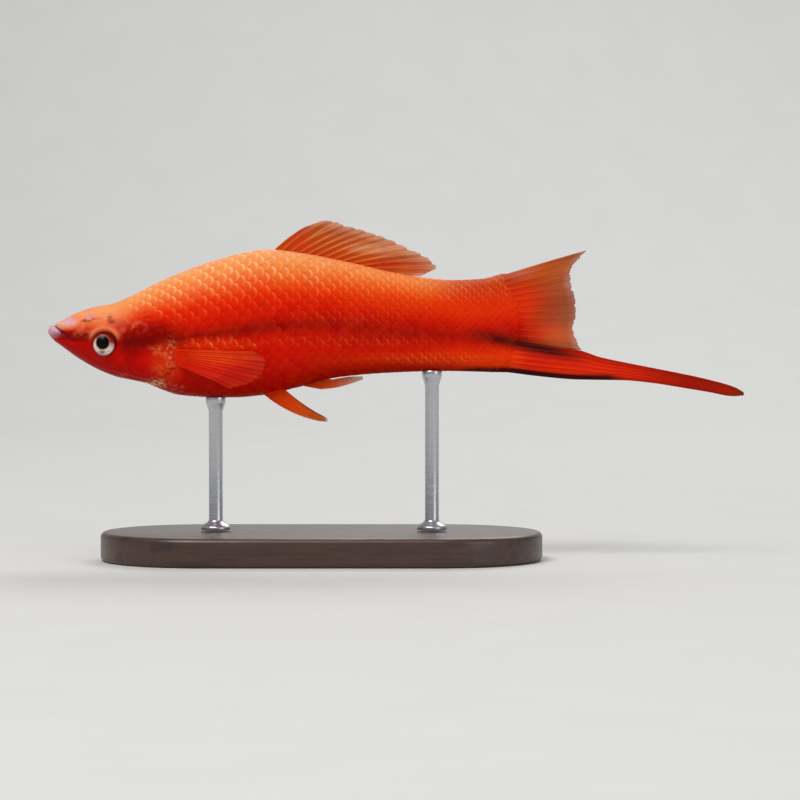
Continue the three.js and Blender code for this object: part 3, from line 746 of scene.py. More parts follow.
def make_pectoral(name, side, material):
    root_side = float(half_width_at(22.75, 7.0)) + 0.65
    ripple, angle = PECTORAL["wave"]

    def spot(s, t):
        root = [mix(a, b, s) for a, b in zip(PECTORAL["top_root"], PECTORAL["bottom_root"])]
        return fan_point(s, t, root, (PECTORAL_TIP_U, PECTORAL_TIP_H), (0.5, 0.42))

    def middle(u, h, s, t):
        on_skin = half_width_at(u, h) + PECTORAL["off_skin"]
        spread = root_side + PECTORAL["flare"] * t
        lie = np.maximum(on_skin, mix(on_skin, spread, np.clip(1.6 * t, 0, 1)))
        lie = lie - PECTORAL["sunk"] * (1 - smooth(-0.02, 0.12, t)) + ripple * t * np.sin(angle * s)
        return side * lie

    make_fin(name, material, PECTORAL["rays"], spot, middle,
             membrane=(0.14, 0.05), ridge=(0.30, 0.11), fray=0.04, seed=11)


PELVIC = {
    "rays": 6, "front_root": (37.2, 0.55), "rear_root": (40.6, 1.45), "apart": 1.25, "splay": 0.28,
    "wave": (0.05, 14),
}
PELVIC_TIP_U = [[0, 47], [0.3, 48.3], [0.65, 48.1], [1, 46.2]]
PELVIC_TIP_H = [[0, -4], [0.3, -4.1], [0.65, -3.7], [1, -2.7]]


def make_pelvic(name, side, material):
    ripple, angle = PELVIC["wave"]

    def spot(s, t):
        root = [mix(a, b, s) for a, b in zip(PELVIC["front_root"], PELVIC["rear_root"])]
        return fan_point(s, t, root, (PELVIC_TIP_U, PELVIC_TIP_H), (0.45, mix(0.78, 0.55, s)))

    def middle(u, h, s, t):
        splay = PELVIC["splay"] * np.maximum(0, 1 - h)
        return side * (PELVIC["apart"] + splay + ripple * np.sin(angle * s) * t)

    make_fin(name, material, PELVIC["rays"], spot, middle,
             membrane=(0.18, 0.06), ridge=(0.38, 0.13), fray=0.05, seed=13, columns_per_ray=20)


ANAL = {"rays": 4, "front_root": 43.2, "rear_root": 46.2, "tip": 54.2}
ANAL_TOP = [[43, 1.9], [47, 2.7], [50, 3.35], [52.5, 3.65], [54.2, 3.65]]
ANAL_BOTTOM = [[43, 1.25], [46, 1.4], [49, 1.65], [51, 2.1], [52.9, 2.7], [54.2, 3.15]]


def make_anal(material):
    def spot(s, t):
        u = mix(mix(ANAL["front_root"], ANAL["rear_root"], 1 - s), ANAL["tip"], t)
        lift = np.maximum(0, 1 - 3 * t) * mix(1.2, 0.9, s)
        return u, mix(along(ANAL_TOP, u), along(ANAL_BOTTOM, u), s) + lift

    def middle(u, h, s, t):
        return 0 * u

    make_fin("anal_fin", material, ANAL["rays"], spot, middle,
             membrane=(0.28, 0.1), ridge=(0.5, 0.2), fray=0.02, seed=17, root=0.0, columns_per_ray=18)


# Eyes

# Middle of the lens on a ball of radius 1, its own radius and how far it bulges
LENS = {"u": -0.16, "h": 0.09, "radius": 0.5, "bulge": 0.06}


def make_eye(name, side, material):
    """A slightly flattened ball, with the lens bulging through its pupil."""
    bm = bmesh.new()
    bmesh.ops.create_uvsphere(bm, u_segments=96, v_segments=64, radius=1)
    bmesh.ops.rotate(bm, verts=bm.verts, cent=(0, 0, 0), matrix=Matrix.Rotation(math.pi / 2, 3, "X"))
    for v in bm.verts:
        away = math.hypot(v.co.x - LENS["u"], v.co.z - LENS["h"]) / LENS["radius"]
        if side * v.co.y > 0 and away < 1:
            v.co.y *= 1 + LENS["bulge"] * (1 - away ** 2)
    size = (EYE["radius"] - 0.04, EYE["deep"] - 0.02, EYE["radius"] - 0.04)
    bmesh.ops.scale(bm, vec=Vector(size) * MM, verts=bm.verts)
    centre_y = side * (float(half_width_at(EYE["u"], EYE["h"])) - EYE["sunk"])
    place = Vector((SNOUT_X + EYE["u"], centre_y, BELLY_Z + EYE["h"])) * MM
    bmesh.ops.translate(bm, vec=place, verts=bm.verts)
    outward(bm)
    dress(name + "_ball", mesh_from(name + "_ball", bm), material, (name,))


# Stand

BASE = {"flat_end": 0.1, "eased": 0.9}


def make_base(material):
    """A slab with round ends and eased edges."""
    low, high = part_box("stand_base")
    size = high - low
    shape = {"profile": 0.5, "affect": "EDGES", "material": -1}
    bm = bmesh.new()
    bmesh.ops.create_cube(bm, size=1)
    bmesh.ops.scale(bm, vec=size, verts=bm.verts)
    bmesh.ops.translate(bm, vec=(low + high) / 2, verts=bm.verts)
    upright = [e for e in bm.edges if abs(e.verts[0].co.z - e.verts[1].co.z) > size.z / 2]
    bmesh.ops.bevel(bm, geom=upright, offset=(size.y - BASE["flat_end"] * MM) / 2, segments=40, **shape)
    rims = [e for e in bm.edges
            if abs(e.verts[0].co.z - e.verts[1].co.z) < 1e-6 and abs(e.calc_face_angle(0)) > 1]
    bmesh.ops.bevel(bm, geom=rims, offset=BASE["eased"] * MM, segments=6, **shape)
    outward(bm)
    dress("display_base", mesh_from("display_base", bm), material, ("stand_base",))


# Outline of a rod: (radius, height over the base) of the collar at its foot, and (radius, depth
# under its top) of the flared seat under the fish
ROD_FOOT = [(0, 0), (2.6, 0), (2.6, 0.5), (2.25, 0.85), (1.55, 1.2), (1.2, 1.6)]
ROD_SEAT = [(1.2, 2.6), (1.62, 1.3), (1.7, 1.05), (1.7, 0.15), (1.55, 0), (0, 0)]
ROD_IN_FISH = 0.25
ROD_EASED = 0.09


def make_rod(name, material):
    """A turned steel rod from the base into the fish's belly."""
    low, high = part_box(name)
    centre = (low + high) / 2
    foot = low.z / MM
    top = BELLY_Z + float(along(BELLY, centre.x / MM - SNOUT_X)) + ROD_IN_FISH
    profile = [(r, foot + z) for r, z in ROD_FOOT] + [(r, top - z) for r, z in ROD_SEAT]
    bm = bmesh.new()
    verts = [bm.verts.new(Vector((r, 0, z)) * MM) for r, z in profile]
    edges = [bm.edges.new(pair) for pair in zip(verts, verts[1:])]
    bmesh.ops.spin(bm, geom=verts + edges, cent=(0, 0, 0), axis=(0, 0, 1), angle=2 * math.pi,
                   steps=64, use_merge=True)
    bmesh.ops.remove_doubles(bm, verts=bm.verts, dist=1e-6)
    bmesh.ops.translate(bm, vec=(centre.x, centre.y, 0), verts=bm.verts)
    outward(bm)
    mesh = mesh_from(name + "_turned", bm)
    piece = dress(name + "_turned", mesh, material, (name,))
    modifier = piece.modifiers.new("eased", "BEVEL")
    modifier.width = ROD_EASED * MM
    modifier.segments = 2
    modifier.limit_method = "ANGLE"


# Materials

def rgb(r, g, b):
    """A colour given as the picture shows it, 0 to 255, in the renderer's linear values."""
    parts = [c / 255 for c in (r, g, b)]
    linear = [c / 12.92 if c <= 0.04045 else ((c + 0.055) / 1.055) ** 2.4 for c in parts]
    return (*linear, 1.0)


def node(tree, kind, inputs=None, **settings):
    """A new shader node with its settings, and with its inputs linked or set."""
    made = tree.nodes.new("ShaderNode" + kind)
    for key, value in settings.items():
        setattr(made, key, value)
    for key, value in (inputs or {}).items():
        if isinstance(value, bpy.types.NodeSocket):
            tree.links.new(value, made.inputs[key])
        else:
            made.inputs[key].default_value = value
    return made


def worked(tree, operation, a, b=0.0, c=0.0):
    """The result of one Math node."""
    return node(tree, "Math", {0: a, 1: b, 2: c}, operation=operation).outputs[0]


def product(tree, value, *factors):
    """The value times each of the factors."""
    for factor in factors:
        value = worked(tree, "MULTIPLY", value, factor)
    return value


def wandering(tree, value, wave, amount):
    """A value that a noise pushes up and down by half the amount."""
    return worked(tree, "ADD", value, worked(tree, "MULTIPLY_ADD", wave, amount, -amount / 2))


def ranged(tree, value, low, high, to_low=0.0, to_high=1.0):
    """A value mapped smoothly from one range to another, and held at its ends."""
    made = node(tree, "MapRange", {0: value, 1: low, 2: high, 3: to_low, 4: to_high},
                interpolation_type="SMOOTHSTEP")
    return made.outputs[0]


def blend_colour(tree, factor, a, b):
    """Colour a where the factor is 0, b where it is 1 and a blend between."""
    return node(tree, "Mix", {0: factor, 6: a, 7: b}, data_type="RGBA").outputs[2]


def tinted(tree, colour, tint, mask, strength):
    """The colour with a tint laid on it where the mask is high."""
    return blend_colour(tree, product(tree, mask, strength), colour, tint)


def ramp(tree, value, stops):
    """A colour ramp from pairs of place and colour."""
    made = node(tree, "ValToRGB", {0: value})
    elements = made.color_ramp.elements
    while len(elements) < len(stops):
        elements.new(0.5)
    for element, (place, colour) in zip(elements, sorted(stops)):
        element.position = place
        element.color = colour
    return made.outputs[0]


def value_of(tree, name):
    """One of the numbers that write_values stored on the mesh."""
    return node(tree, "Attribute", attribute_name=name, attribute_type="GEOMETRY").outputs["Fac"]


def noise(tree, vector, scale, detail=3.0, roughness=0.55):
    inputs = {"Vector": vector, "Scale": scale, "Detail": detail, "Roughness": roughness}
    return node(tree, "TexNoise", inputs).outputs["Fac"]


def stretched(tree, vector, factors):
    """A vector with each of its parts multiplied by a factor."""
    return node(tree, "VectorMath", {0: vector, 1: factors}, operation="MULTIPLY").outputs[0]


def in_millimetres(tree):
    """Object coordinates in millimetres on the fish, as a vector (u, y, h)."""
    place = node(tree, "TexCoord").outputs["Object"]
    scaled = node(tree, "VectorMath", {0: place, 3: 1 / MM}, operation="SCALE").outputs[0]
    return node(tree, "VectorMath", {0: scaled, 1: (-SNOUT_X, 0, -BELLY_Z)}, operation="ADD").outputs[0]


def new_group(name, ins, outs):
    """A shader node group with named inputs and outputs; returns it with its two end nodes."""
    group = bpy.data.node_groups.new(name, "ShaderNodeTree")
    for key, kind in ins:
        group.interface.new_socket(name=key, in_out="INPUT", socket_type="NodeSocket" + kind)
    for key, kind in outs:
        group.interface.new_socket(name=key, in_out="OUTPUT", socket_type="NodeSocket" + kind)
    return group, group.nodes.new("NodeGroupInput"), group.nodes.new("NodeGroupOutput")


def patch_group():
    """A soft-edged oval patch in the side view: 1 inside, 0 outside."""
    group, given, result = new_group(
        "soft_patch", [("Place", "Vector"), ("Middle", "Vector"), ("Reach", "Vector"), ("Soft", "Float")],
        [("Mask", "Float")])
    soft = given.outputs["Soft"]
    away = node(group, "VectorMath", {0: given.outputs["Place"], 1: given.outputs["Middle"]},
                operation="SUBTRACT")
    scaled = node(group, "VectorMath", {0: away.outputs[0], 1: given.outputs["Reach"]},
                  operation="DIVIDE")
    flat = stretched(group, scaled.outputs[0], (1, 0, 1))
    length = node(group, "VectorMath", {0: flat}, operation="LENGTH").outputs["Value"]
    inner = worked(group, "SUBTRACT", 1.0, soft)
    outer = worked(group, "ADD", 1.0, soft)
    group.links.new(ranged(group, length, inner, outer, 1.0, 0.0), result.inputs["Mask"])
    return group


PATCH = patch_group()


def patch(tree, place, middle, reach, soft):
    """How much of a patch covers each place."""
    inputs = {
        "Place": place,
        "Middle": (middle[0], 0, middle[1]),
        "Reach": (reach[0], 1, reach[1]),
        "Soft": soft,
    }
    return node(tree, "Group", inputs, node_tree=PATCH).outputs["Mask"]


def patched(tree, place, colour, patches, uneven=None):
    """The colour with soft patches laid on it, a little uneven or as broken up as uneven says."""
    if uneven is None:
        uneven = ranged(tree, noise(tree, place, 1.1), 0.2, 0.6, 0.5, 1.0)
    for middle, reach, soft, tint, strength in patches:
        mask = product(tree, patch(tree, place, middle, reach, soft), strength)
        colour = tinted(tree, colour, tint, mask, uneven)
    return colour


# Colours of the fish from the belly up to the back, at four places along it. The bands are the
# fish's own colours, but the darkest stops at the belly's edge are partly painted shade and the
# peach stops on top are partly painted highlight, as from light above
HEAD_COLOURS = [
    (0.00, rgb(160, 4, 0)), (0.14, rgb(188, 5, 0)), (0.30, rgb(196, 6, 0)), (0.46, rgb(164, 3, 0)),
    (0.57, rgb(168, 8, 0)), (0.66, rgb(216, 66, 28)), (0.76, rgb(236, 124, 66)), (0.90, rgb(244, 158, 98)),
    (1.00, rgb(240, 156, 96)),
]
FRONT_COLOURS = [
    (0.00, rgb(160, 4, 0)), (0.08, rgb(190, 4, 0)), (0.18, rgb(210, 5, 0)), (0.26, rgb(222, 8, 0)),
    (0.38, rgb(212, 8, 0)), (0.43, rgb(180, 4, 0)), (0.465, rgb(140, 1, 0)), (0.51, rgb(184, 4, 0)),
    (0.57, rgb(206, 10, 0)), (0.63, rgb(216, 18, 0)), (0.70, rgb(224, 34, 0)), (0.80, rgb(234, 84, 10)),
    (0.90, rgb(240, 136, 58)), (0.98, rgb(244, 164, 100)),
]
REAR_COLOURS = [
    (0.00, rgb(140, 6, 0)), (0.07, rgb(186, 22, 0)), (0.15, rgb(226, 40, 0)), (0.24, rgb(212, 14, 0)),
    (0.33, rgb(186, 6, 0)), (0.41, rgb(158, 4, 0)), (0.50, rgb(182, 6, 0)), (0.59, rgb(208, 18, 0)),
    (0.68, rgb(220, 42, 0)), (0.77, rgb(230, 62, 0)), (0.87, rgb(238, 104, 26)), (0.95, rgb(238, 136, 66)),
]
TAIL_COLOURS = [
    (0.00, rgb(140, 16, 0)), (0.08, rgb(216, 46, 0)), (0.17, rgb(240, 54, 0)), (0.27, rgb(218, 28, 0)),
    (0.35, rgb(178, 8, 0)), (0.42, rgb(178, 6, 0)), (0.50, rgb(206, 18, 0)), (0.64, rgb(230, 44, 0)),
    (0.80, rgb(218, 46, 0)), (0.92, rgb(194, 58, 10)), (1.00, rgb(198, 104, 76)),
]
# The last three each take over from the one before between two shares of the body's length
BODY_COLOURS = [(0.12, 0.22, FRONT_COLOURS), (0.5, 0.74, REAR_COLOURS), (0.78, 0.93, TAIL_COLOURS)]
# How far noise shifts the bands up and down, as a share of the body's depth
BAND_DRIFT = 0.05
# Tint and strength of the dark stripes, on the body and on the sword
DARK = (rgb(24, 3, 3), 0.94)
DARK_ON_SWORD = (rgb(16, 2, 3), 0.95)
# Patches on the head and just behind it, some of them painted shade or painted highlight as
# marked: middle (u, h), reach, softness, colour and strength
HEAD_PATCHES = [
    ((18.2, 10.5), (5.0, 2.4), 0.75, rgb(112, 2, 0), 0.85),
    ((14.8, 8.9), (1.7, 2.4), 0.7, rgb(96, 2, 0), 0.6),
    ((22.4, 9.0), (1.7, 1.7), 0.7, rgb(112, 8, 2), 0.6),
    ((15.6, 5.6), (3.2, 1.9), 0.7, rgb(206, 4, 0), 0.5),
    ((20.6, 6.0), (2.4, 3.2), 0.6, rgb(220, 54, 4), 0.75),
    # painted highlight: a bright orange row of lit scale edges above the pectoral fin
    ((29.6, 9.1), (6.5, 0.9), 0.6, rgb(244, 52, 0), 0.5),
    # painted shade: dark red under the upper lip, back from the mouth's corner
    ((5.5, 10.6), (3.1, 0.75), 0.6, rgb(112, 3, 0), 0.85),
    ((7.4, 14.0), (0.75, 0.5), 0.85, rgb(214, 150, 164), 0.75),
    ((7.0, 13.2), (1.0, 0.25), 0.6, rgb(150, 52, 24), 0.75),
    ((9.0, 13.7), (0.7, 0.2), 0.6, rgb(176, 80, 44), 0.6),
    ((11.0, 13.6), (0.4, 0.7), 0.8, rgb(130, 28, 14), 0.8),
    ((11.6, 13.2), (0.8, 0.35), 0.8, rgb(120, 22, 12), 0.8),
    ((12.9, 12.8), (1.0, 0.6), 0.9, rgb(186, 80, 66), 0.5),
    ((3.0, 12.9), (2.2, 1.0), 0.5, rgb(226, 150, 124), 0.8),
    # painted highlight: mauve-pink on top of the upper lip
    ((3.9, 13.2), (1.15, 0.6), 0.85, rgb(220, 176, 200), 0.9),
    ((2.3, 13.0), (0.9, 0.4), 0.8, rgb(246, 196, 176), 0.6),
    ((1.1, 11.5), (1.25, 1.05), 0.5, rgb(212, 168, 190), 0.95),
    # painted shade: dark purple under the knob of the lower lip
    ((1.9, 10.8), (1.1, 0.45), 0.6, rgb(128, 40, 62), 0.6),
]
# Patches broken up into pale flecks; the two on the gill cover are partly painted highlight
FLECKED_PATCHES = [
    ((18.9, 2.5), (1.7, 0.8), 0.7, rgb(238, 206, 150), 0.75),
    # the gill cover's pale flecks together with its painted shine, a painted highlight
    ((19.8, 8.3), (1.8, 0.9), 0.7, rgb(238, 112, 62), 0.55),
    ((21.5, 7.4), (0.9, 2.2), 0.7, rgb(240, 146, 104), 0.6),
    ((19.8, 4.8), (1.8, 1.0), 0.7, rgb(228, 112, 60), 0.4),
    ((13.0, 3.9), (1.0, 0.4), 0.7, rgb(204, 96, 90), 0.7),
    ((22.6, 1.7), (1.1, 0.6), 0.7, rgb(206, 116, 100), 0.7),
]
# The blotched top of the head: middle (u, h), reach and softness
CROWN = ((9.0, 13.4), (8.0, 2.6), 0.4)
# Rows of scales whose free edges get painted glints, a painted highlight: middle (u, h), reach,
# softness and strength
PAINTED_GLINTS = [
    ((30.5, 9.5), (6.0, 0.9), 0.5, 0.9),
    ((66.0, 6.9), (8.5, 0.9), 0.6, 0.55),
    ((50.0, 9.8), (14.0, 0.8), 0.6, 0.3),
    ((52.0, 14.2), (10.0, 1.2), 0.7, 0.25),
]
TAIL_PATCHES = [
    ((86.0, 22.0), (6.0, 1.5), 0.6, rgb(198, 84, 0), 0.8),
    ((86.2, 15.6), (4.6, 2.8), 0.9, rgb(160, 44, 0), 0.65),
    ((84.8, 11.2), (4.0, 1.3), 0.95, rgb(222, 40, 0), 0.8),
    ((88.0, 10.6), (2.4, 1.6), 0.95, rgb(206, 84, 4), 0.7),
    ((89.6, 14.8), (1.1, 3.0), 0.7, rgb(150, 72, 8), 0.6),
    ((82.4, 17.2), (2.8, 2.8), 0.95, rgb(226, 52, 0), 0.6),
]
DORSAL_PATCHES = [
    ((43.0, 27.4), (2.0, 2.2), 0.7, rgb(206, 52, 6), 0.7),
    ((58.6, 22.9), (3.4, 0.7), 0.6, rgb(196, 38, 0), 0.85),
    ((62.6, 22.3), (2.6, 0.7), 0.7, rgb(220, 86, 16), 0.7),
    ((56.5, 25.6), (4.5, 0.8), 0.6, rgb(240, 170, 118), 0.5),
]
PECTORAL_PATCHES = [
    ((30.5, 7.5), (5.5, 1.5), 0.7, rgb(240, 76, 14), 0.65),
    ((32.5, 3.4), (5.5, 1.6), 0.8, rgb(180, 18, 0), 0.6),
]


def markings_group():
    """Colour of the whole fish from its place: bands up the side and the head's own patches, with
    painted shade and painted highlight among them, and how pale the scales' free edges are painted.
    """
    group, given, result = new_group(
        "fish_markings",
        [("Place", "Vector"), ("Up", "Float"), ("Back", "Float"), ("Dark", "Float")],
        [("Color", "Color"), ("Pale_and_glint", "Float")])
    place = given.outputs["Place"]
    back = given.outputs["Back"]
    streak = noise(group, stretched(group, place, (0.35, 1, 1)), 0.9)
    up = wandering(group, given.outputs["Up"], noise(group, place, 0.22, 2.0), BAND_DRIFT)
    up = wandering(group, up, streak, BAND_DRIFT)
    colour = ramp(group, up, HEAD_COLOURS)
    for low, high, stops in BODY_COLOURS:
        colour = blend_colour(group, ranged(group, back, low, high), colour, ramp(group, up, stops))
    blotch = ranged(group, noise(group, place, 0.75), 0.4, 0.8, 0.0, 0.18)
    colour = blend_colour(group, blotch, colour, rgb(240, 44, 0))
    colour = patched(group, place, colour, HEAD_PATCHES)
    fleck = ranged(group, noise(group, place, 1.5, 2.0), 0.42, 0.68)
    colour = patched(group, place, colour, FLECKED_PATCHES, fleck)
    mottle = ranged(group, noise(group, place, 0.9, 2.0), 0.45, 0.65)
    mottle = product(group, mottle, patch(group, place, *CROWN))
    colour = tinted(group, colour, rgb(238, 124, 84), mottle, 0.4)
    colour = tinted(group, colour, DARK[0], given.outputs["Dark"], DARK[1])
    group.links.new(colour, result.inputs["Color"])
    # Free edges of the scales are pale on the back, partly their own paler colour and partly painted
    # # highlight, and less so towards the tail; the glint rows add more painted highlight
    pale = product(group, ranged(group, up, 0.52, 0.88), ranged(group, back, 0.95, 0.45, 0.2, 1.0))
    # painted highlight: the glint rows of scale edges
    for middle, reach, soft, strength in PAINTED_GLINTS:
        glint = product(group, patch(group, place, middle, reach, soft), strength)
        pale = worked(group, "MAXIMUM", pale, glint)
    group.links.new(pale, result.inputs["Pale_and_glint"])
    return group


def relief_group():
    """Fine relief shared by skin, scales and fins: soft pores over a slow unevenness."""
    group, given, result = new_group(
        "fine_relief", [("Place", "Vector"), ("Size", "Float")], [("Height", "Float"), ("Grain", "Float")])
    place = node(group, "VectorMath", {0: given.outputs["Place"], 3: given.outputs["Size"]},
                 operation="SCALE").outputs[0]
    pores = node(group, "TexVoronoi", {"Vector": place, "Scale": 1.0}, feature="SMOOTH_F1")
    grain = noise(group, place, 0.35, 4.0)
    height = worked(group, "MULTIPLY_ADD", pores.outputs["Distance"], 0.6, product(group, grain, 0.7))
    group.links.new(height, result.inputs["Height"])
    group.links.new(grain, result.inputs["Grain"])
    return group


MARKINGS = markings_group()
RELIEF = relief_group()
# Finish of the fish's surfaces: fineness, least and greatest roughness, depth of the relief in
# millimetres and its strength
FINISHES = {
    "skin": (3.2, (0.3, 0.46), 0.05, 0.6),
    "scales": (4.0, (0.3, 0.46), 0.03, 0.5),
    "fins": (5.0, (0.36, 0.55), 0.02, 0.4),
    "sword": (4.0, (0.32, 0.5), 0.03, 0.5),
}


def new_material(name, **settings):
    """A material with its Principled shader, whose even values are set on its own sockets."""
    material = bpy.data.materials.new(name)
    material.use_nodes = True
    shader = material.node_tree.nodes["Principled BSDF"]
    for key, value in settings.items():
        shader.inputs[key.replace("_", " ")].default_value = value
    return material, material.node_tree, shader


def bumped(tree, shader, height, distance, strength):
    made = node(tree, "Bump", {"Height": height, "Distance": distance * MM, "Strength": strength})
    tree.links.new(made.outputs[0], shader.inputs["Normal"])


def finished(tree, shader, colour, place, finish, ridges=None):
    """Links a colour and one of the fish's finishes to a shader; ridges add to the relief."""
    size, rough, depth, strength = FINISHES[finish]
    tree.links.new(colour, shader.inputs["Base Color"])
    fine = node(tree, "Group", {"Place": place, "Size": size}, node_tree=RELIEF)
    tree.links.new(ranged(tree, fine.outputs["Grain"], 0.2, 0.8, *rough), shader.inputs["Roughness"])
    height = fine.outputs["Height"]
    if ridges is not None:
        height = worked(tree, "MULTIPLY_ADD", ridges, 0.25, height)
    bumped(tree, shader, height, depth, strength)


def marked(tree, place):
    """The markings' node at each place of a mesh that carries their values."""
    inputs = {
        "Place": place,
        "Up": value_of(tree, "up"),
        "Back": value_of(tree, "back"),
        "Dark": value_of(tree, "dark"),
    }
    return node(tree, "Group", inputs, node_tree=MARKINGS)


def skin_material():
    material, tree, shader = new_material("swordtail_skin", Specular_IOR_Level=0.05)
    place = in_millimetres(tree)
    colour = marked(tree, place).outputs["Color"]
    # painted highlight on the raised rim above the eye
    colour = tinted(tree, colour, rgb(232, 122, 78), value_of(tree, "brow"), 0.85)
    # painted shade in the mouth's groove
    colour = tinted(tree, colour, rgb(92, 12, 26), value_of(tree, "groove"), 0.9)
    finished(tree, shader, colour, place, "skin")
    return material


def scale_material():
    """The skin's markings, with free edges paler partly by their own colour and partly by
    painted highlight, and roots painted darker as shade.
    """
    material, tree, shader = new_material("swordtail_scales", Specular_IOR_Level=0.05)
    place = in_millimetres(tree)
    marks = marked(tree, place)
    rim = value_of(tree, "rim")
    speck = value_of(tree, "speck")
    edge = ranged(tree, rim, 0.5, 0.88)
    # painted light: the upper half of each free edge is lit more, as from above, and each plate and place
    # by a random amount
    lit = product(
        tree,
        worked(tree, "MULTIPLY_ADD", value_of(tree, "above"), 0.75, 0.2),
        worked(tree, "MULTIPLY_ADD", speck, 0.6, 0.6),
        ranged(tree, noise(tree, place, 0.5, 2.0), 0.35, 0.65, 0.55, 1.15),
    )
    pale_and_lit_edge = product(tree, edge, lit, marks.outputs["Pale_and_glint"])
    # painted shade: the front of each plate, under the plate before it, is tinted darker orange
    root = product(tree, value_of(tree, "root"), marks.outputs["Pale_and_glint"])
    colour = tinted(tree, marks.outputs["Color"], rgb(196, 66, 12), root, 0.45)
    # the pale edges' colour, peach near the back, is partly their own and partly painted highlight
    near_back = ranged(tree, value_of(tree, "up"), 0.68, 0.95)
    pale = blend_colour(tree, near_back, rgb(248, 116, 40), rgb(255, 206, 148))
    colour = blend_colour(tree, pale_and_lit_edge, colour, pale)
    colour = tinted(tree, colour, rgb(244, 40, 0), edge, 0.08)
    colour = tinted(tree, colour, rgb(250, 80, 10), speck, 0.08)
    growth = worked(tree, "SINE", product(tree, rim, 42.0))
    finished(tree, shader, colour, place, "scales", growth)
    return material


def fin_material(name, membrane, rays, solid, contrast, patches=(), marks_run_in=False):
    """Membrane and rays have their own colours by the share of the way out. solid is how opaque
    the membrane is near the root and at the edge, contrast how strong the rays' colour is, and
    marks_run_in lets the body's markings run on into the fin."""
    material, tree, shader = new_material(name, Specular_IOR_Level=0.08)
    place = in_millimetres(tree)
    ray = value_of(tree, "ray")
    reach = wandering(tree, value_of(tree, "reach"), noise(tree, place, 0.5), 0.1)
    colour = blend_colour(tree, product(tree, ray, contrast), ramp(tree, reach, membrane),
                          ramp(tree, reach, rays))
    colour = patched(tree, place, colour, patches)
    if marks_run_in:
        colour = tinted(tree, colour, DARK[0], value_of(tree, "dark"), DARK[1])
        marks = marked(tree, place)
        colour = blend_colour(tree, ranged(tree, reach, 0.1, 0.6), marks.outputs["Color"], colour)
    opaque = worked(tree, "MAXIMUM", ranged(tree, reach, 0.2, 1.0, *solid), product(tree, ray, 0.96))
    tree.links.new(opaque, shader.inputs["Alpha"])
    finished(tree, shader, colour, place, "fins")
    return material


SWORD_COLOURS = [
    (0.0, rgb(206, 28, 0)), (0.2, rgb(222, 36, 1)), (0.38, rgb(226, 40, 2)), (0.55, rgb(208, 34, 1)),
    (0.75, rgb(176, 22, 0)), (0.92, rgb(166, 28, 0)), (1.0, rgb(146, 50, 4)),
]


def sword_material():
    """The body's colours run on into a red blade with dark stripes, painted darker towards both
    its edges as shade.
    """
    material, tree, shader = new_material("sword_skin", Specular_IOR_Level=0.08)
    place = in_millimetres(tree)
    reach = value_of(tree, "reach")
    red = ramp(tree, wandering(tree, reach, noise(tree, place, 0.45), 0.16), SWORD_COLOURS)
    # painted shade: darker towards the blade's upper and lower edges
    off_middle = worked(tree, "ABSOLUTE", worked(tree, "SUBTRACT", value_of(tree, "across"), 0.55))
    red = blend_colour(tree, ranged(tree, off_middle, 0.15, 0.5, 0.0, 0.55), red, rgb(136, 10, 0))
    red = tinted(tree, red, DARK_ON_SWORD[0], value_of(tree, "dark"), DARK_ON_SWORD[1])
    marks = marked(tree, place)
    colour = blend_colour(tree, ranged(tree, reach, 0.0, 0.12), marks.outputs["Color"], red)
    colour = tinted(tree, colour, rgb(240, 76, 30), value_of(tree, "ray"), 0.08)
    finished(tree, shader, colour, place, "sword")
    return material


# Rings of the eye: middle (u, h) and radius
PUPIL = ((9.84, 9.56), 1.09)
SILVER = ((10.02, 9.2), 1.76)
IRIS = ((10.2, 9.6), 1.98)
# The small notch in the silver under the pupil
NOTCH = [((9.7, 7.95), (0.5, 0.3), 0.7, rgb(96, 74, 62), 0.85)]
# Rosy and dark edges round the pupil: width, softness, colour and strength
PUPIL_EDGES = [(0.26, 0.12, rgb(196, 128, 116), 0.35), (0.1, 0.1, rgb(60, 24, 18), 0.7)]


def ring_of(tree, place, ring, grow=0.0, soft=0.05):
    """How much of a round patch of the eye, grown all round, covers each place."""
    middle, radius = ring
    return patch(tree, place, middle, (radius + grow, radius + grow), soft)


def eye_material(side):
    """Black pupil, a silver crescent below it and a dark crimson iris above."""
    name = "eye_left_gloss" if side < 0 else "eye_right_gloss"
    material, tree, shader = new_material(name, Coat_Weight=0.12, Coat_Roughness=0.04, Roughness=0.4,
                                          Specular_IOR_Level=0.05)
    place = in_millimetres(tree)
    split = node(tree, "SeparateXYZ", {0: place})
    off_u = worked(tree, "SUBTRACT", split.outputs[0], SILVER[0][0])
    off_h = worked(tree, "SUBTRACT", split.outputs[2], SILVER[0][1])
    slope = worked(tree, "MULTIPLY_ADD", off_u, 0.32, off_h)
    lower = ranged(tree, wandering(tree, slope, noise(tree, place, 1.8, 2.0), 0.5), 0.5, 0.95, 1.0, 0.0)
    silver_mask = product(tree, lower, ring_of(tree, place, SILVER, soft=0.07))
    fleck = noise(tree, place, 3.5, 4.0)
    silver = blend_colour(tree, ranged(tree, fleck, 0.35, 0.75), rgb(246, 230, 222), rgb(214, 166, 156))
    silver = blend_colour(tree, ranged(tree, slope, -0.45, 0.6, 0.0, 0.75), silver, rgb(196, 116, 108))
    silver = patched(tree, place, silver, NOTCH)
    crimson = blend_colour(tree, fleck, rgb(88, 6, 2), rgb(140, 22, 8))
    colour = blend_colour(tree, ring_of(tree, place, IRIS), rgb(150, 26, 8), crimson)
    colour = blend_colour(tree, silver_mask, colour, silver)
    for grow, soft, tint, strength in PUPIL_EDGES:
        colour = tinted(tree, colour, tint, ring_of(tree, place, PUPIL, grow, soft), strength)
    colour = blend_colour(tree, ring_of(tree, place, PUPIL), colour, rgb(3, 4, 3))
    tree.links.new(colour, shader.inputs["Base Color"])
    bumped(tree, shader, fleck, 0.03, 0.3)
    return material


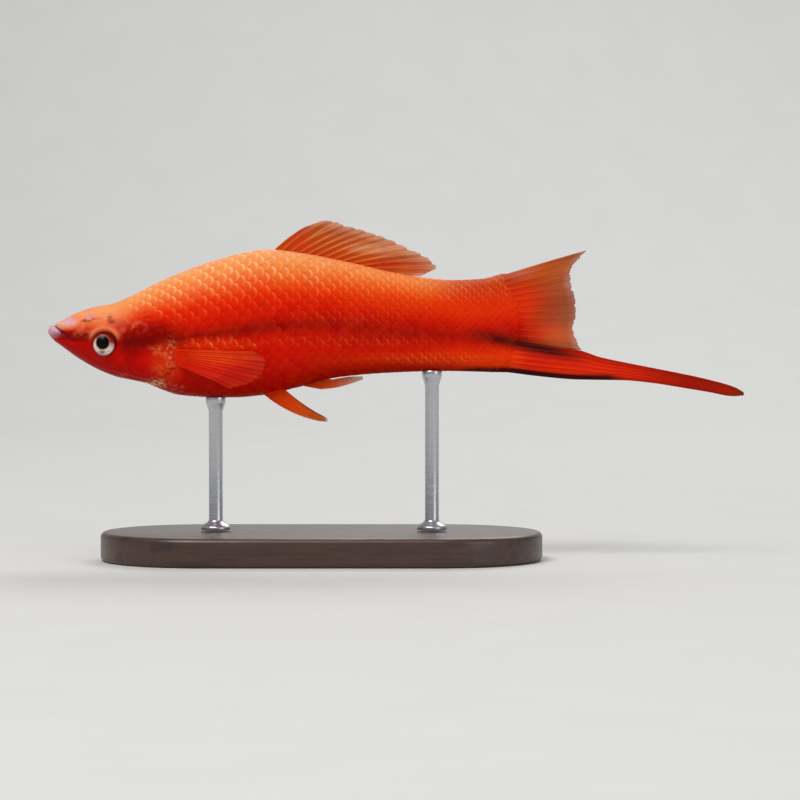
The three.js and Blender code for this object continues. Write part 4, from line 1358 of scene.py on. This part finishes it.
def wood_material():
    material, tree, shader = new_material("stained_wood", Coat_Weight=0.25, Coat_Roughness=0.25)
    place = in_millimetres(tree)
    grain = noise(tree, stretched(tree, place, (0.045, 0.5, 0.5)), 1.0, 6.0, 0.6)
    pores = noise(tree, stretched(tree, place, (0.25, 4.0, 4.0)), 1.0)
    colour = ramp(tree, grain, [(0.3, rgb(38, 24, 18)), (0.5, rgb(72, 46, 33)), (0.7, rgb(52, 33, 25))])
    colour = blend_colour(tree, ranged(tree, pores, 0.56, 0.72, 0.0, 0.6), colour, rgb(22, 14, 11))
    tree.links.new(colour, shader.inputs["Base Color"])
    tree.links.new(ranged(tree, pores, 0.3, 0.7, 0.34, 0.5), shader.inputs["Roughness"])
    bumped(tree, shader, pores, 0.06, 0.35)
    return material


def steel_material():
    material, tree, shader = new_material("brushed_steel", Metallic=1.0)
    lines = noise(tree, stretched(tree, in_millimetres(tree), (0.4, 0.4, 14.0)), 1.0)
    colour = blend_colour(tree, lines, rgb(176, 178, 182), rgb(206, 207, 210))
    tree.links.new(colour, shader.inputs["Base Color"])
    tree.links.new(ranged(tree, lines, 0.25, 0.75, 0.22, 0.38), shader.inputs["Roughness"])
    bumped(tree, shader, lines, 0.01, 0.3)
    return material


# Setting: floor, lights and camera, in metres

FLOOR = {"half": 2.0, "front": -1.6, "flat_to": 0.5, "curve": 0.35, "curve_steps": 20, "top": 1.6}
# Lights: name, place, size, power and colour
LIGHTS = [
    ("key", (-0.3, -0.5, 0.8), (0.5, 0.4), 6.4, (1.0, 0.98, 0.95)),
    ("fill", (0.7, -0.6, 0.3), (0.5, 0.5), 1.5, (0.97, 0.98, 1.0)),
    ("rim", (0.2, 0.6, 0.6), (0.6, 0.3), 2.8, (1, 1, 1)),
]
LIGHT_TARGET = Vector((0, 0, 0.03))
STUDIO = {"colour": (0.92, 0.95, 1.0, 1), "strength": 0.32}
# In millimetres: the width seen at the fish, the camera's distance and the place it looks at
PICTURE_WIDTH = 137.6
CAMERA = {"away": 600.0, "look": (0.5, 0.0, 27.6), "elevation": 2.0, "sensor": 36.0}


def make_floor():
    """A pale floor that curves up into a backdrop."""
    material, tree, shader = new_material("studio_paper", Roughness=0.85)
    paper = noise(tree, node(tree, "TexCoord").outputs["Object"], 60.0)
    colour = blend_colour(tree, paper, rgb(206, 206, 204), rgb(212, 212, 210))
    tree.links.new(colour, shader.inputs["Base Color"])
    flat_to, curve = FLOOR["flat_to"], FLOOR["curve"]
    profile = [(FLOOR["front"], 0), (flat_to, 0)]
    profile += [(flat_to + curve * math.sin(a), curve * (1 - math.cos(a)))
                for a in np.linspace(0.1, math.pi / 2, FLOOR["curve_steps"])]
    profile += [(flat_to + curve, FLOOR["top"])]
    bm = bmesh.new()
    verts = [bm.verts.new((-FLOOR["half"], y, z)) for y, z in profile]
    edges = [bm.edges.new(pair) for pair in zip(verts, verts[1:])]
    made = bmesh.ops.extrude_edge_only(bm, edges=edges)
    moved = [v for v in made["geom"] if isinstance(v, bmesh.types.BMVert)]
    bmesh.ops.translate(bm, vec=(2 * FLOOR["half"], 0, 0), verts=moved)
    floor = in_scene("floor", mesh_from("floor", bm), material)


def make_light(name, place, size, power, colour):
    lamp = bpy.data.lights.new(name, "AREA")
    lamp.shape = "RECTANGLE"
    lamp.size, lamp.size_y = size
    lamp.energy = power
    lamp.color = colour
    obj = bpy.data.objects.new(name, lamp)
    obj.location = place
    obj.rotation_euler = (LIGHT_TARGET - Vector(place)).to_track_quat("-Z", "Y").to_euler()
    bpy.context.scene.collection.objects.link(obj)


def make_camera():
    data = bpy.data.cameras.new("camera")
    data.sensor_width = CAMERA["sensor"]
    data.lens = CAMERA["sensor"] * CAMERA["away"] / PICTURE_WIDTH
    data.clip_start = 0.01
    data.clip_end = 20.0
    camera = bpy.data.objects.new("camera", data)
    tilt = math.radians(CAMERA["elevation"])
    back = Vector((0, -math.cos(tilt), math.sin(tilt)))
    camera.location = (Vector(CAMERA["look"]) + back * CAMERA["away"]) * MM
    camera.rotation_euler = (-back).to_track_quat("-Z", "Y").to_euler()
    bpy.context.scene.collection.objects.link(camera)
    bpy.context.scene.camera = camera


def make_world():
    world = bpy.data.worlds.new("studio")
    bpy.context.scene.world = world
    world.use_nodes = True
    background = world.node_tree.nodes["Background"]
    background.inputs["Color"].default_value = STUDIO["colour"]
    background.inputs["Strength"].default_value = STUDIO["strength"]


make_camera()
make_world()
make_floor()
bpy.context.scene.view_settings.view_transform = "Standard"
for light in LIGHTS:
    make_light(*light)

SKIN = skin_material()
SCALES = scale_material()
DORSAL_SKIN = fin_material(
    "dorsal_membrane",
    [(0.0, rgb(194, 60, 4)), (0.3, rgb(190, 66, 3)), (0.75, rgb(178, 70, 8)), (1.0, rgb(200, 130, 96))],
    [(0.0, rgb(208, 70, 8)), (0.4, rgb(236, 122, 40)), (0.8, rgb(220, 132, 74)), (1.0, rgb(228, 172, 142))],
    (0.95, 0.82), 0.85, DORSAL_PATCHES)
TAIL_SKIN = fin_material(
    "tail_membrane",
    [(0.0, rgb(216, 50, 1)), (0.45, rgb(190, 66, 4)), (0.85, rgb(172, 78, 16)), (1.0, rgb(190, 134, 112))],
    [(0.0, rgb(220, 60, 4)), (0.45, rgb(204, 78, 12)), (0.85, rgb(188, 92, 30)), (1.0, rgb(212, 164, 146))],
    (0.96, 0.8), 0.45, TAIL_PATCHES, marks_run_in=True)
PECTORAL_SKIN = fin_material(
    "pectoral_membrane",
    [(0.0, rgb(226, 34, 0)), (0.5, rgb(214, 20, 0)), (0.88, rgb(196, 14, 0)), (1.0, rgb(196, 38, 12))],
    [(0.0, rgb(230, 44, 2)), (0.6, rgb(230, 50, 8)), (1.0, rgb(216, 66, 34))],
    (0.97, 0.9), 0.5, PECTORAL_PATCHES)
PELVIC_SKIN = fin_material(
    "pelvic_membrane",
    [(0.0, rgb(214, 50, 0)), (0.5, rgb(208, 70, 2)), (0.88, rgb(196, 90, 8)), (1.0, rgb(206, 136, 70))],
    [(0.0, rgb(230, 66, 8)), (0.6, rgb(230, 98, 24)), (1.0, rgb(222, 140, 78))],
    (0.96, 0.75), 0.6)
ANAL_SKIN = fin_material(
    "anal_membrane",
    [(0.0, rgb(180, 36, 0)), (0.4, rgb(224, 80, 10)), (0.72, rgb(222, 92, 20)), (1.0, rgb(200, 192, 158))],
    [(0.0, rgb(196, 44, 2)), (0.5, rgb(236, 96, 22)), (1.0, rgb(218, 210, 182))],
    (0.97, 0.6), 0.6)
SWORD_SKIN = sword_material()
WOOD = wood_material()
STEEL = steel_material()

make_skin(SKIN)
every_scale = keep_scales(scale_places())
scale_draws = np.random.default_rng(29)
on_left = every_scale[:, 1] <= 1.0
make_scales("scales_left", every_scale[on_left], SCALES, scale_draws)
make_scales("scales_right", every_scale[~on_left], SCALES, scale_draws)
make_dorsal(DORSAL_SKIN)
make_tail_fin(TAIL_SKIN)
make_sword(SWORD_SKIN)
make_anal(ANAL_SKIN)
for end, side in (("left", -1), ("right", 1)):
    make_eye("eye_" + end, side, eye_material(side))
    make_pectoral("pectoral_fin_" + end, side, PECTORAL_SKIN)
    make_pelvic("pelvic_fin_" + end, side, PELVIC_SKIN)
make_base(WOOD)
for end in ("front", "rear"):
    make_rod("stand_rod_" + end, STEEL)
